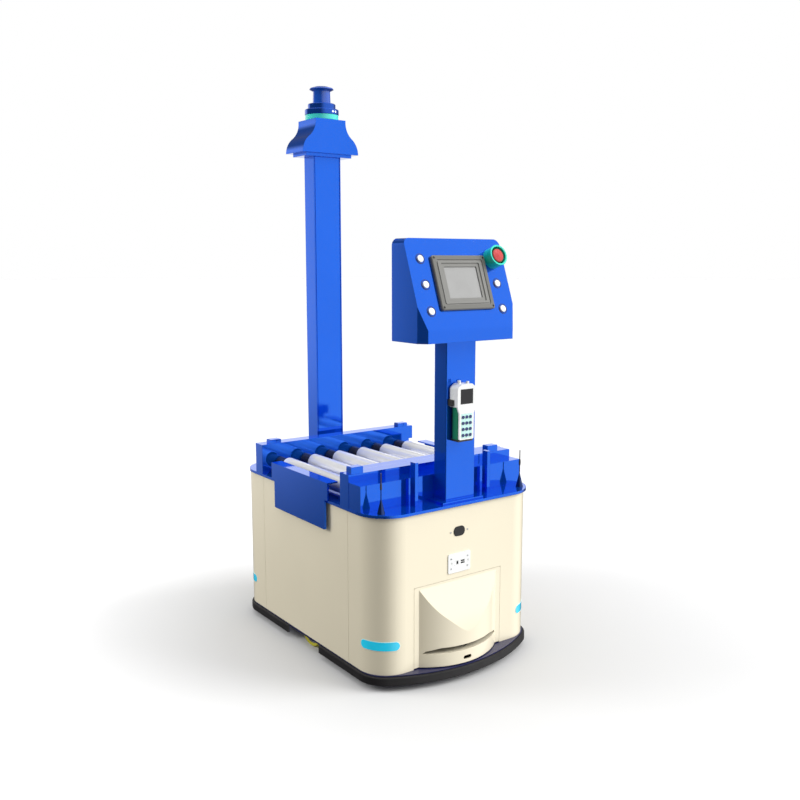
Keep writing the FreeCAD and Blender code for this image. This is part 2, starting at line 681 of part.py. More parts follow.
def nose_form(inset):
    """Swelling of the nose: a bowed front under a sloping visor, both moved in by inset."""
    radius = (BULGE_HALF ** 2 + BULGE_DEPTH ** 2) / (2 * BULGE_DEPTH)
    tip = -SHELL_Y - BULGE_DEPTH
    bow = rod(radius - inset, (0, tip + radius, 0), (0, 0, 1), REACH)
    slope = (BULGE_DEPTH + 1) / (VISOR_TOP - VISOR_KNEE)
    shift = inset * math.sqrt(1 + slope ** 2)
    front = tip - 1 + inset
    back = -SHELL_Y + 20

    def height(y):
        return VISOR_TOP - (-SHELL_Y + shift - y) / slope

    visor = along_x([(back, 0, 0), (front, 0, 0), (front, height(front), VISOR_ROUND - inset),
                     (back, height(back), 0)], -REACH, REACH)
    return bow.common(visor)


def nose_cover():
    """Moulded nose: flat flange, swelling visor, scanner slot over a lip, and a port hole."""
    half = NOSE_WIDTH / 2
    front = -SHELL_Y
    flange = along_y([(-half, NOSE_BOTTOM, 0), (half, NOSE_BOTTOM, 0), (half, NOSE_TOP, 4),
                      (-half, NOSE_TOP, 4)], front, front + SHELL_WALL)
    swell = nose_form(0).common(box(-REACH, REACH, -REACH, front, NOSE_BOTTOM, NOSE_TOP))
    cover = union([flange, swell])
    hollow = nose_form(NOSE_WALL).common(box(-REACH, REACH, -REACH, front + SHELL_WALL + 1, 0, REACH))
    shelf = SLOT_BOTTOM - NOSE_WALL
    cover = cover.cut(hollow.common(box(-REACH, REACH, -REACH, REACH, 0, shelf)))
    cover = cover.cut(hollow.common(box(-REACH, REACH, -REACH, REACH, SLOT_BOTTOM, REACH)))
    slot_top = SLOT_BOTTOM + SLOT_HEIGHT
    corner = SLOT_HEIGHT / 2
    end_round, shoulder_round = SLOT_ROUNDS
    slot = along_y([(-SLOT_HALF, SLOT_BOTTOM, 0), (SLOT_HALF, SLOT_BOTTOM, 0),
                    (SLOT_HALF - corner, SLOT_BOTTOM + corner, end_round),
                    (SLOT_HALF - SLOT_SHOULDER, slot_top, shoulder_round),
                    (SLOT_SHOULDER - SLOT_HALF, slot_top, shoulder_round),
                    (corner - SLOT_HALF, SLOT_BOTTOM + corner, end_round)], -REACH, front - 1)
    cover = cover.cut(slot)
    cover = cover.cut(rod(LIDAR_RADIUS + 1, (0, LIDAR_Y, 0), (0, 0, 1), SLOT_BOTTOM + 1))
    px, pz = PORT_HOLE[0] / 2, PORT_HOLE[1] / 2
    port = along_y([(PORT_HOLE_X + sx * px, PORT_HOLE_Z + sz * pz, pz - 0.01)
                    for sx, sz in ((-1, -1), (1, -1), (1, 1), (-1, 1))], -REACH, front - 10)
    return cover.cut(port).translated(V(NOSE_X, 0, 0))


def front_lidar():
    """Round navigation scanner on the base plate, behind the nose slot."""
    base = SHELL_BOTTOM
    top = base + LIDAR_HEIGHT
    wide = LIDAR_RADIUS
    narrow = LIDAR_RADIUS - LIDAR_WAIST
    band0 = base + LIDAR_BAND[0]
    band1 = top - LIDAR_BAND[1]
    return turned([(0, base, 0), (wide, base, 2), (wide, band0 - LIDAR_WAIST, 1), (narrow, band0, 0),
                   (narrow, band1, 0), (wide, band1 + 2, 1), (wide, top, 4), (0, top, 0)],
                  (NOSE_X, LIDAR_Y, 0))


def front_window():
    """Dark sensor window in the front cover, with its body behind."""
    lens = along_y(window_outline(0), -SHELL_Y - WINDOW_PROUD, -SHELL_Y + SHELL_WALL)
    margin, depth = WINDOW_BODY
    half_x = WINDOW[0] / 2 + margin
    half_z = WINDOW[1] / 2 + margin
    inside = -SHELL_Y + SHELL_WALL
    body = box(NOSE_X - half_x, NOSE_X + half_x, inside, inside + depth, WINDOW_Z - half_z, WINDOW_Z + half_z)
    return union([lens, body])


def port_plate():
    """White connector plate on the front cover, with two socket recesses and two round ones."""
    half_x = PORT_PLATE[0] / 2
    half_z = PORT_PLATE[1] / 2
    front = -SHELL_Y - PORT_PLATE_THICK
    plate = along_y([(NOSE_X + sx * half_x, PORT_PLATE_Z + sz * half_z, PORT_PLATE_ROUND)
                     for sx, sz in ((-1, -1), (1, -1), (1, 1), (-1, 1))], front, -SHELL_Y)
    width, height, depth = SOCKET
    for sx in (-1, 1):
        middle = NOSE_X + sx * SOCKET_X
        plate = plate.cut(box(middle - width / 2, middle + width / 2, front - 1, front + depth,
                              PORT_PLATE_Z - height / 2, PORT_PLATE_Z + height / 2))
        jack = (NOSE_X + sx * JACK_X, front - 1, PORT_PLATE_Z)
        plate = plate.cut(rod(JACK_RADIUS, jack, (0, 1, 0), depth + 1))
    return plate


# ---- deck ----
def deck_plate():
    plate = rounded(DECK_WIDTH / 2, DECK_LENGTH / 2, DECK_RADIUS, SHELL_TOP, DECK_TOP)
    for x in (-DECK_HOLE_X, DECK_HOLE_X):
        for inset in DECK_HOLE_INSETS:
            hole = (x, DECK_LENGTH / 2 - inset, SHELL_TOP - 1)
            plate = plate.cut(rod(DECK_HOLE, hole, (0, 0, 1), DECK_THICK + 2))
    return plate


def roller_x(index):
    return (index - (ROLLER_COUNT - 1) / 2) * ROLLER_PITCH


def bored(body, y):
    """The body with a hole for each roller axle, through the wall that starts at y."""
    for index in range(ROLLER_COUNT):
        body = body.cut(rod(AXLE_RADIUS + FIT, (roller_x(index), y - 1, AXLE_Z), (0, 1, 0), RAIL_WALL + 2))
    return body


def front_rail():
    """Hollow rail with closed ends and a bored inner wall."""
    edge = DECK_WIDTH / 2
    wall = RAIL_WALL
    body = along_y([(-edge, DECK_TOP, 0), (edge, DECK_TOP, 0), (edge, RAIL_TOP, RAIL_ROUND),
                    (-edge, RAIL_TOP, 0)], FRONT_RAIL_FACE, LANE[0])
    body = body.cut(box(wall - edge, edge - wall, FRONT_RAIL_FACE + wall, LANE[0] - wall, DECK_TOP + wall,
                        RAIL_TOP - wall))
    return bored(body, LANE[0] - wall)


def rear_rail():
    """Hollow rail with closed ends, a step at its right end and a bored inner wall."""
    edge = DECK_WIDTH / 2
    foot = edge - REAR_RAIL_STEP
    step = DECK_TOP + STEP_HEIGHT
    wall = RAIL_WALL
    body = along_y([(-edge, DECK_TOP, 0), (foot, DECK_TOP, 0), (foot, step, 0), (edge, step, 0),
                    (edge, RAIL_TOP, RAIL_ROUND), (-edge, RAIL_TOP, 0)], LANE[1], REAR_RAIL_FACE)
    body = body.cut(box(wall - edge, foot - wall, LANE[1] + wall, REAR_RAIL_FACE - wall, DECK_TOP + wall,
                        RAIL_TOP - wall))
    return bored(body, LANE[1])


def drive_cover():
    """Sheet channel along the front rail, over the ends of the rollers."""
    x0 = -DECK_WIDTH / 2 + DRIVE_COVER_INSET
    x1 = DECK_WIDTH / 2
    y1 = LANE[0] + DRIVE_COVER_DEPTH
    wall = DRIVE_COVER_WALL
    low = RAIL_TOP - DRIVE_COVER_HEIGHT
    body = box(x0, x1, LANE[0], y1, low, RAIL_TOP)
    return body.cut(box(x0 + wall, x1 - wall, LANE[0] + wall, y1 - wall, low - 1, RAIL_TOP - wall))


def roller(index):
    """Conveyor roller: a tube with narrower end hubs bored for the fixed axle."""
    x = roller_x(index)
    hub_radius, hub_length = ROLLER_HUB
    half = ROLLER_LENGTH / 2
    end = half + hub_length
    ring, collar, dish = HUB_DISH
    bore = AXLE_RADIUS + FIT
    tube = turned([(bore, -end, 0), (hub_radius, -end, 0), (hub_radius, -half, 0), (ROLLER_RADIUS, -half, 2),
                   (ROLLER_RADIUS, half, 2), (hub_radius, half, 0), (hub_radius, end, 0), (bore, end, 0)])
    inside = half - PLUG_LENGTH
    tube = tube.cut(rod(ROLLER_RADIUS - ROLLER_WALL, (0, 0, -inside), (0, 0, 1), 2 * inside))
    cup = rod(hub_radius - ring, (0, 0, end - dish), (0, 0, 1), dish + 1)
    cup = cup.cut(rod(bore + collar, (0, 0, end - dish - 1), (0, 0, 1), dish + 3))
    tube = tube.cut(cup).cut(mirrored(cup, (0, 0, 1)))
    tube.rotate(V(0, 0, 0), V(1, 0, 0), 90)
    return tube.translated(V(x, LANE_MIDDLE, AXLE_Z))


def roller_axle(index):
    start = LANE[0] - AXLE_OVERHANG
    return rod(AXLE_RADIUS, (roller_x(index), start, AXLE_Z), (0, 1, 0), LANE[1] + AXLE_OVERHANG - start)


def riser_box():
    """Sheet-metal enclosure in front of the front rail."""
    x0 = -DECK_WIDTH / 2 + RISER_LEFT_INSET
    x1 = DECK_WIDTH / 2 - RISER_RIGHT_INSET
    top = DECK_TOP + RISER_HEIGHT
    wall = RISER_WALL
    body = box(x0, x1, -RISER_FRONT, FRONT_RAIL_FACE, DECK_TOP, top)
    return body.cut(box(x0 + wall, x1 - wall, -RISER_FRONT + wall, FRONT_RAIL_FACE - wall, DECK_TOP - 1,
                        top - wall))


def beam_sensor(x, y, facing, height):
    """Tote sensor on a rail's top; its eye looks across the lane."""
    half_x = BEAM_SENSOR[0] / 2
    half_y = BEAM_SENSOR[1] / 2
    body = along_y([(x - half_x, RAIL_TOP, 0), (x + half_x, RAIL_TOP, 0),
                    (x + half_x, RAIL_TOP + height, SENSOR_ROUND),
                    (x - half_x, RAIL_TOP + height, SENSOR_ROUND)], y - half_y, y + half_y)
    radius, depth = SENSOR_EYE
    return body.cut(rod(radius, (x, y + facing * half_y, RAIL_TOP + height / 2), (0, -facing, 0), depth))


def beam_sensors():
    """Four tote sensors, one near each end of each rail."""
    edge = DECK_WIDTH / 2
    front_y = FRONT_RAIL_FACE + BEAM_SENSOR[1] / 2
    rear_y = LANE[1] + BEAM_SENSOR[1] / 2
    return [beam_sensor(FRONT_SENSORS[0] - edge, front_y, 1, BEAM_SENSOR[2]),
            beam_sensor(edge - FRONT_SENSORS[1], front_y, 1, BEAM_SENSOR[2]),
            beam_sensor(REAR_SENSORS[0] - edge, rear_y, -1, REAR_SENSOR_HEIGHT),
            beam_sensor(edge - REAR_SENSORS[1], rear_y, -1, REAR_SENSOR_HEIGHT)]


def sensor_bars():
    width, depth, height = BAR
    back = -RISER_FRONT - BAR_GAP
    return [box(sx * BAR_X - width / 2, sx * BAR_X + width / 2, back - depth, back, DECK_TOP,
                DECK_TOP + height) for sx in (-1, 1)]


def end_skirt():
    """Bent plate on the +X edge of the deck: an apron outside and a flange under the roller."""
    inner = DECK_WIDTH / 2
    outer = inner + SKIRT_THICK
    low = DECK_TOP - SKIRT_DROP
    high = DECK_TOP + SKIRT_RISE
    upper = SKIRT_UPPER_HALF
    lower = SKIRT_LOWER_HALF
    apron = along_x([(-lower, low, SKIRT_ROUND), (lower, low, SKIRT_ROUND), (lower, DECK_TOP, 0),
                     (upper, DECK_TOP, 0), (upper, high, 0), (-upper, high, 0), (-upper, DECK_TOP, 0),
                     (-lower, DECK_TOP, 0)], inner, outer)
    flange = box(outer - SKIRT_FLANGE, inner, -upper, upper, high - SKIRT_FLANGE_THICK, high)
    return union([apron, flange])


def antenna(sign):
    """Whip antenna: flared foot, thin rod and a loading coil bulge."""
    h = ANTENNA_HEIGHT
    foot, coil, whip = ANTENNA_RADII
    rim, neck, end = ANTENNA_FOOT
    return turned([(0, 0, 0), (foot, 0, 0), (foot - 1, rim, 1), (coil, neck, ANTENNA_FLARE), (whip, end, 0),
                   (whip, 0.57 * h, 0), (coil, 0.62 * h, 0), (coil, 0.72 * h, 0), (whip, 0.77 * h, 0),
                   (whip, h, 0), (0, h, 0)],
                  (sign * (DECK_WIDTH / 2 - ANTENNA_INSET), ANTENNA_INSET - DECK_LENGTH / 2, DECK_TOP))


# ---- front post and control head ----
def front_post():
    """Square tube welded to a foot plate, reaching up into the control head."""
    half = POST_WIDTH / 2
    foot_z = DECK_TOP + FOOT[2]
    tube = rounded(half, POST_DEPTH / 2, POST_ROUND, DECK_TOP, POST_TOP, (POST_X, POST_Y))
    inner = half - POST_WALL
    tube = tube.cut(box(POST_X - inner, POST_X + inner, POST_FRONT + POST_WALL, POST_BACK - POST_WALL,
                        foot_z, POST_TOP + 1))
    foot = box(POST_X - FOOT[0] / 2, POST_X + FOOT[0] / 2, POST_BACK - FOOT[1], POST_BACK, DECK_TOP, foot_z)
    return union([tube, foot])


def head_form(inset):
    """Control head block: tilted face over an upright chin with splayed sides, moved in by inset."""
    back = HEAD_BACK - inset
    bottom = HEAD_BOTTOM + inset
    top = HEAD_TOP - inset
    chin = CHIN_Y + inset

    def face_y(z):
        return CHIN_Y + inset / math.cos(TILT) + (z - CHIN_TOP) * math.tan(TILT)

    kink = CHIN_TOP + (chin - face_y(CHIN_TOP)) / math.tan(TILT)
    side = along_x([(back, bottom, 0), (chin, bottom, 0), (chin, kink, 0), (face_y(top), top, 0),
                    (back, top, 0)], -REACH, REACH)
    splay = V(CHIN_SIDE_Y - CHIN_Y, -(HEAD_HALF - CHIN_HALF), 0).normalize()
    reach = splay.x * HEAD_HALF + splay.y * CHIN_SIDE_Y - inset
    half = HEAD_HALF - inset
    corner_y = (reach - splay.x * half) / splay.y
    corner_x = (reach - splay.y * chin) / splay.x
    plan = along_z([(half, back, 0), (-half, back, 0), (-half, corner_y, 0), (-corner_x, chin, 0),
                    (corner_x, chin, 0), (half, corner_y, 0)], bottom, top)
    front = along_y([(-half, bottom, 0), (half, bottom, 0), (half, top, HEAD_ROUND - inset),
                     (-half, top, HEAD_ROUND - inset)], -REACH, 0)
    return side.common(plan).common(front)


def button_spots():
    """Centres of the push buttons on the face; the top right place is the stop button's."""
    spots = [(-BUTTON_U, v) for v in reversed(BUTTON_V)]
    return spots + [(BUTTON_U, v) for v in reversed(BUTTON_V[:2])]


def head_housing():
    """Sheet-metal head with openings for the display, buttons, stop switch and post."""
    shell = head_form(0).cut(head_form(HEAD_WALL)).translated(V(POST_X, 0, 0))
    bx = HMI_BODY[0] / 2 + HMI_BODY_GAP
    by = HMI_BODY[1] / 2 + HMI_BODY_GAP
    tools = [box(-bx, bx, HMI_V - by, HMI_V + by, -HEAD_WALL - 1, 1)]
    tools += [rod(BUTTON_RADIUS + GAP, (u, v, -HEAD_WALL - 1), (0, 0, 1), HEAD_WALL + 2)
              for u, v in button_spots()]
    tools.append(rod(ESTOP_STEM + 1, (ESTOP_U, ESTOP_V, -HEAD_WALL - 1), (0, 0, 1), HEAD_WALL + 2))
    for tool in tools:
        shell = shell.cut(on_face(tool))
    half = POST_WIDTH / 2 + GAP
    return shell.cut(box(POST_X - half, POST_X + half, POST_FRONT - GAP, POST_BACK + GAP, HEAD_BOTTOM - 1,
                         HEAD_BOTTOM + HEAD_WALL + 1))


def stepped(half_x, half_y, radius, z0, z1):
    return rounded(half_x, half_y, radius, z0, z1, (0, HMI_V))


def hmi_bezel():
    """Display unit: bevelled frame in steps, and the body that passes through the face."""
    hx, hy = HMI[0] / 2, HMI[1] / 2
    top = HMI_PROUD
    frame = stepped(hx, hy, HMI_ROUND, 0, top)
    frame = frame.makeChamfer(HMI_BEVEL, [edge for edge in frame.Edges if edge.BoundBox.ZMin > top - 1e-6])
    outer, inner, sink = HMI_GROOVE
    groove = stepped(hx - outer, hy - outer, 5, top - sink, top + 1)
    frame = frame.cut(groove.cut(stepped(hx - inner, hy - inner, 4, top - sink, top + 1)))
    across, up, sink = HMI_RECESS
    frame = frame.cut(stepped(hx - across, hy - up, 4, top - sink, top + 1))
    frame = frame.cut(stepped(SCREEN[0] / 2, SCREEN[1] / 2, SCREEN_ROUND, top - SCREEN_SINK - SCREEN_THICK,
                              top + 1))
    radius, inset, sink = HMI_SCREW
    for sx in (-1, 1):
        for sy in (-1, 1):
            place = (sx * (hx - inset), HMI_V + sy * (hy - inset), top - sink)
            frame = frame.cut(rod(radius, place, (0, 0, 1), sink + 1))
    body = stepped(HMI_BODY[0] / 2, HMI_BODY[1] / 2, 3, -HMI_BODY_DEPTH, 0)
    return on_face(union([frame, body]))


def hmi_screen():
    top = HMI_PROUD - SCREEN_SINK
    return on_face(stepped(SCREEN[0] / 2, SCREEN[1] / 2, SCREEN_ROUND, top - SCREEN_THICK, top))


def push_button(u, v):
    """Domed button, held behind the face by its flange."""
    neck = -HEAD_WALL - GAP
    flange = BUTTON_RADIUS + FLANGE_EXTRA
    return on_face(turned([(0, neck - FLANGE_THICK, 0), (flange, neck - FLANGE_THICK, 0), (flange, neck, 0),
                           (BUTTON_RADIUS, neck, 0), (BUTTON_RADIUS, BUTTON_PROUD, 1.6),
                           (0, BUTTON_PROUD + BUTTON_DOME, 0)], (u, v, 0)))


def estop_collar():
    """Guard ring round the stop button, with a floor that guides the stem."""
    bore = COLLAR_RADIUS - COLLAR_WALL
    guide = ESTOP_STEM + FIT
    return on_face(turned([(guide, 0, 0), (COLLAR_RADIUS, 0, 0), (COLLAR_RADIUS, COLLAR_HEIGHT, 1.5),
                           (bore, COLLAR_HEIGHT, 1.5), (bore, COLLAR_FLOOR, 0), (guide, COLLAR_FLOOR, 0)],
                          (ESTOP_U, ESTOP_V, 0)))


def estop_stem():
    neck = -HEAD_WALL - GAP
    flange, thick = ESTOP_FLANGE
    tip, reach = ESTOP_TIP
    shoulder = ESTOP_SHOULDER
    return on_face(turned([(0, neck - thick, 0), (flange, neck - thick, 0), (flange, neck, 0),
                           (ESTOP_STEM, neck, 0), (ESTOP_STEM, shoulder, 0), (tip, shoulder, 0),
                           (tip, shoulder + reach, 0), (0, shoulder + reach, 0)], (ESTOP_U, ESTOP_V, 0)))


def estop_cap():
    """Mushroom head that turns on the stem's tip."""
    bore = ESTOP_TIP[0] + FIT
    seat = ESTOP_SHOULDER + GAP
    socket = seat + ESTOP_TIP[1]
    top = COLLAR_HEIGHT + ESTOP_PROUD
    return on_face(turned([(bore, seat, 0), (ESTOP_CAP - ESTOP_UNDERCUT, seat, 0),
                           (ESTOP_CAP, seat + ESTOP_FLARE, 2), (ESTOP_CAP, top - 4, 4), (0, top, 0),
                           (0, socket, 0), (bore, socket, 0)], (ESTOP_U, ESTOP_V, 0)))


# ---- handset ----
def handset_holder():
    """Cradle on the post: back plate, foot lip and two cheeks beside the handset's head."""
    back = POST_FRONT
    front = back - HOLDER_PLATE
    foot = HANDSET_BOTTOM - HOLDER_FOOT
    wing_z = HOLDER_TOP - CHEEK_HEIGHT
    cheek0 = HANDSET_HEAD_HALF + GAP
    cheek1 = HANDSET_HEAD_HALF + HOLDER_PLATE
    plate = box(-HOLDER_HALF, HOLDER_HALF, front, back, foot, HOLDER_TOP)
    lip = box(-HANDSET_GRIP_HALF, HANDSET_GRIP_HALF, HANDSET_FRONT + HOLDER_LIP, back, foot,
              HANDSET_BOTTOM - GAP)
    wing = box(-cheek1, cheek1, front, back, wing_z, HOLDER_TOP)
    cheek = box(cheek0, cheek1, back - CHEEK_DEPTH, back, wing_z, HOLDER_TOP)
    return union([plate, lip, wing, cheek, mirrored(cheek, (1, 0, 0))])


def handset_body():
    """Front shell with the wide head, the keypad recess and two controls on top."""
    head, grip = HANDSET_HEAD_HALF, HANDSET_GRIP_HALF
    low, high = HANDSET_NECK
    top = HANDSET_TOP
    across, down = HANDSET_SHOULDER
    crown = [(head, top - down, 10), (head - across, top, 8), (across - head, top, 8),
             (-head, top - down, 10)]
    outline = [(-grip, HANDSET_BOTTOM, 4), (grip, HANDSET_BOTTOM, 4), (grip, low, 8), (head, high, 8)]
    outline += crown + [(-head, high, 8), (-grip, low, 8)]
    behind = HANDSET_FRONT + HANDSET_FACE
    face = along_y(outline, HANDSET_FRONT, behind)
    block = along_y([(-head, high, 0), (head, high, 0)] + crown, behind, HANDSET_BACK)
    middle = (HANDSET_FRONT + HANDSET_BACK) / 2
    knobs = [rod(KNOB_RADIUS, (x, middle, top - KNOB_SEAT), (0, 0, 1), height) for x, height in KNOBS]
    body = union([face, block] + knobs)
    width, height, sink = HANDSET_SCREEN
    body = body.cut(box(-width / 2, width / 2, HANDSET_FRONT - 1, HANDSET_FRONT + sink,
                        HANDSET_SCREEN_Z - height / 2, HANDSET_SCREEN_Z + height / 2))
    return body.cut(keypad_mat(HANDSET_FRONT - 1))


def handset_grip():
    half = (HANDSET_DEPTH - HANDSET_FACE) / 2
    centre = (0, HANDSET_BACK - half)
    return rounded(HANDSET_GRIP_HALF, half, GRIP_ROUND, HANDSET_BOTTOM, HANDSET_NECK[1], centre)


def keypad_mat(front):
    """Mat behind the keys, from the given front face down to its seat."""
    half = KEY_PITCH[0] + KEY_MARGIN[0]
    return box(-half, half, front, HANDSET_FRONT + MAT_THICK, KEY_TOP_Z - 3 * KEY_PITCH[1] - KEY_MARGIN[1],
               KEY_TOP_Z + KEY_MARGIN[1])


def handset_keypad():
    """Flexible mat with twelve domed keys."""
    across, down = KEY_PITCH
    front = HANDSET_FRONT - KEY_PROUD
    keys = [rod(KEY_RADIUS, (column * across, front, KEY_TOP_Z - row * down), (0, 1, 0), KEY_PROUD)
            for column in (-1, 0, 1) for row in range(4)]
    return union([keypad_mat(HANDSET_FRONT)] + keys)


# ---- mast and scanner ----
def mast_column():
    """Channel column on its foot plate, and the cover strip that closes its front."""
    half = MAST_WIDTH / 2
    foot_top = DECK_TOP + MAST_FOOT[2]
    back = MAST_FRONT + MAST_DEPTH
    foot_y = REAR_RAIL_FACE + MAST_FOOT_GAP
    tube = box(-half, half, MAST_FRONT, back, DECK_TOP, MAST_TOP)
    tube = tube.cut(box(-half + MAST_WALL, half - MAST_WALL, MAST_FRONT - 1, back - MAST_WALL,
                        foot_top, MAST_TOP + 1))
    foot = box(-MAST_FOOT[0] / 2, MAST_FOOT[0] / 2, foot_y, foot_y + MAST_FOOT[1], DECK_TOP, foot_top)
    face = MAST_FRONT + MAST_LEDGE
    spine = face + MAST_WALL
    inner = half - MAST_WALL
    cover = box(MAST_GROOVE - inner, inner - MAST_GROOVE, face, spine, foot_top, MAST_TOP)
    web = box(-inner, inner, spine, spine + MAST_SPINE, foot_top, MAST_TOP)
    return union([tube, foot]), union([cover, web])


def hood_outline(inset, y0):
    """Half ogee on each side: two equal arcs that leave the base and meet the lip upright."""
    low = HOOD_BOTTOM_HALF - inset
    high = HOOD_TOP_HALF - inset
    shift = (low - high) / 2
    rise = (HOOD_HEIGHT - HOOD_LIP) / 2
    sweep = 2 * math.atan2(shift, rise)
    radius = rise / math.sin(sweep)
    bend = radius * (1 - math.cos(sweep / 2))
    climb = radius * math.sin(sweep / 2)
    z0 = HOOD_BOTTOM
    z1 = z0 + 2 * rise
    top = HOOD_TOP - inset

    def spot(x, z):
        return V(x, y0, z)

    edges = [Part.LineSegment(spot(-low, z0), spot(low, z0)).toShape(),
             Part.LineSegment(spot(high, top), spot(-high, top)).toShape()]
    for sx in (-1, 1):
        foot, waist, lip = spot(sx * low, z0), spot(sx * (low - shift), z0 + rise), spot(sx * high, z1)
        edges.append(Part.Arc(foot, spot(sx * (low - bend), z0 + climb), waist).toShape())
        edges.append(Part.Arc(waist, spot(sx * (high + bend), z1 - climb), lip).toShape())
        edges.append(Part.LineSegment(lip, spot(sx * high, top)).toShape())
    return Part.Face(Part.Wire(Part.__sortEdges__(edges)))


def mast_hood():
    """Cap plate and hollow flared hood, an ogee in front view, with a cable hole into the mast."""
    front = MAST_Y - HOOD_DEPTH / 2
    plate = box(-MAST_CAP[0] / 2, MAST_CAP[0] / 2, MAST_Y - MAST_CAP[1] / 2, MAST_Y + MAST_CAP[1] / 2,
                MAST_TOP, HOOD_BOTTOM)
    hood = hood_outline(0, front).extrude(V(0, HOOD_DEPTH, 0))
    hollow = hood_outline(HOOD_WALL, front + HOOD_WALL).extrude(V(0, HOOD_DEPTH - 2 * HOOD_WALL, 0))
    hollow = hollow.common(box(-REACH, REACH, -REACH, REACH, HOOD_BOTTOM + HOOD_WALL, REACH))
    cable = rod(CABLE_HOLE, (0, MAST_Y, MAST_TOP - 1), (0, 0, 1), MAST_CAP[2] + HOOD_WALL + 2)
    return union([plate, hood.cut(hollow)]).cut(cable)


def scanner_ring():
    return turned([(0, HOOD_TOP, 0), (RING_RADIUS, HOOD_TOP, 2), (RING_RADIUS, RING_TOP, 0),
                   (0, RING_TOP, 0)],
                  (0, MAST_Y, 0))


def scanner_body():
    """Two-step base with the spindle that the scanning head turns on."""
    low = RING_TOP
    mid = low + SCANNER_STEP
    top = OPTIC_BOTTOM
    tip = top + OPTIC_HEIGHT - SPINDLE_SHORT
    return turned([(0, low, 0), (SCANNER_RADIUS, low, 2), (SCANNER_RADIUS, mid, 3),
                   (SCANNER_STEP_RADIUS, mid, 1), (SCANNER_STEP_RADIUS, top, 3), (SPINDLE_RADIUS, top, 0),
                   (SPINDLE_RADIUS, tip, 0), (0, tip, 0)], (0, MAST_Y, 0))


def scanner_window():
    """Tapered optical window under a flared cap."""
    top = OPTIC_BOTTOM + OPTIC_HEIGHT
    outer, inner = OPTIC_RADIUS, OPTIC_RADIUS - OPTIC_WALL
    crown = top + CAP_HEIGHT
    under, shoulder, upper = [CAP_RADIUS - step for step in CAP_STEPS]
    return turned([(inner, OPTIC_BOTTOM, 0), (outer, OPTIC_BOTTOM, 0), (outer - OPTIC_TAPER, top, 4),
                   (under, top + 3, 3), (CAP_RADIUS, top + 6, 1.5), (shoulder, crown - 4, 3), (upper, crown, 6),
                   (0, crown, 0), (0, top, 0), (inner - OPTIC_TAPER, top, 0)], (0, MAST_Y, 0))


def scanner_rotor():
    """Scanning head inside the window, with a flat mirror face."""
    under, over = ROTOR_GAPS
    low = OPTIC_BOTTOM + under
    high = OPTIC_BOTTOM + OPTIC_HEIGHT - over
    bore = SPINDLE_RADIUS + FIT
    body = turned([(bore, low, 0), (ROTOR_RADIUS, low, 2), (ROTOR_RADIUS, high, 2), (bore, high, 0)],
                  (0, MAST_Y, 0))
    front = MAST_Y - ROTOR_RADIUS
    return body.cut(box(-REACH, REACH, front - 1, front + ROTOR_FLAT, OPTIC_BOTTOM + MIRROR_RISE, REACH))


# ---- write every sub-part ----
save("base_tray", base_tray())
save("chassis_frame", *chassis_frame())
save("bumper_rubbers", *bumper_rubbers())
front_cover, rear_cover, left_panel, right_panel = shell_covers()
save("front_cover", front_cover)
save("rear_cover", rear_cover)
save("left_side_panel", left_panel)
save("right_side_panel", right_panel)
save("nose_cover", nose_cover())
save("front_lidar", front_lidar())
save("corner_lights", *corner_lights(0))
save("front_sensor_window", front_window())
save("service_port_plate", port_plate())
unit = drive_unit()
save("drive_units", unit, mirrored(unit, (1, 0, 0)))
wheel = drive_wheel()
save("right_drive_wheel", wheel)
save("left_drive_wheel", mirrored(wheel, (1, 0, 0)))
CASTER_NAMES = ((1, 1, "rear_right"), (-1, 1, "rear_left"), (1, -1, "front_right"), (-1, -1, "front_left"))
for sx, sy, place in CASTER_NAMES:
    move = V((sx - 1) * CASTER_X, (sy - 1) * CASTER_Y, 0)
    save("caster_fork_" + place, caster_fork().translated(move))
    save("caster_wheel_" + place, caster_wheel().translated(move))
save("battery_pack", rounded(BATTERY[0] / 2, BATTERY[1] / 2, BATTERY_ROUND, SHELL_BOTTOM,
                             SHELL_BOTTOM + BATTERY[2], (0, BATTERY_Y)))
save("deck_plate", deck_plate())
save("roller_rails", front_rail(), rear_rail(), drive_cover())
for number in range(ROLLER_COUNT):
    save("roller_" + str(number + 1), roller(number))
save("roller_axles", *[roller_axle(number) for number in range(ROLLER_COUNT)])
save("riser_box", riser_box())
save("beam_sensors", *beam_sensors())
save("sensor_bars", *sensor_bars())
skirt = end_skirt()
save("end_skirts", skirt, mirrored(skirt, (1, 0, 0)))
save("antennas", antenna(-1), antenna(1))
save("front_post", front_post())
save("head_housing", head_housing())
save("hmi_bezel", hmi_bezel())
save("hmi_screen", hmi_screen())
for number, (u, v) in enumerate(button_spots()):
    save("push_button_" + str(number + 1), push_button(u, v))
save("estop_collar", estop_collar())
save("estop_stem", estop_stem())
save("estop_cap", estop_cap())
save("handset_holder", handset_holder().translated(V(HANDSET_X, 0, 0)))
save("handset_body", handset_body().translated(V(HANDSET_X, 0, 0)))
save("handset_grip", handset_grip().translated(V(HANDSET_X, 0, 0)))
save("handset_keypad", handset_keypad().translated(V(HANDSET_X, 0, 0)))
save("mast_column", *mast_column())
save("mast_hood", mast_hood())
save("scanner_ring", scanner_ring())
save("scanner_body", scanner_body())
save("scanner_window", scanner_window())
save("scanner_rotor", scanner_rotor())
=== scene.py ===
"""The looks of the autonomous mobile robot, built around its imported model. Lengths are in metres."""

import json
import math

import bmesh
import bpy
from mathutils import Matrix, Vector


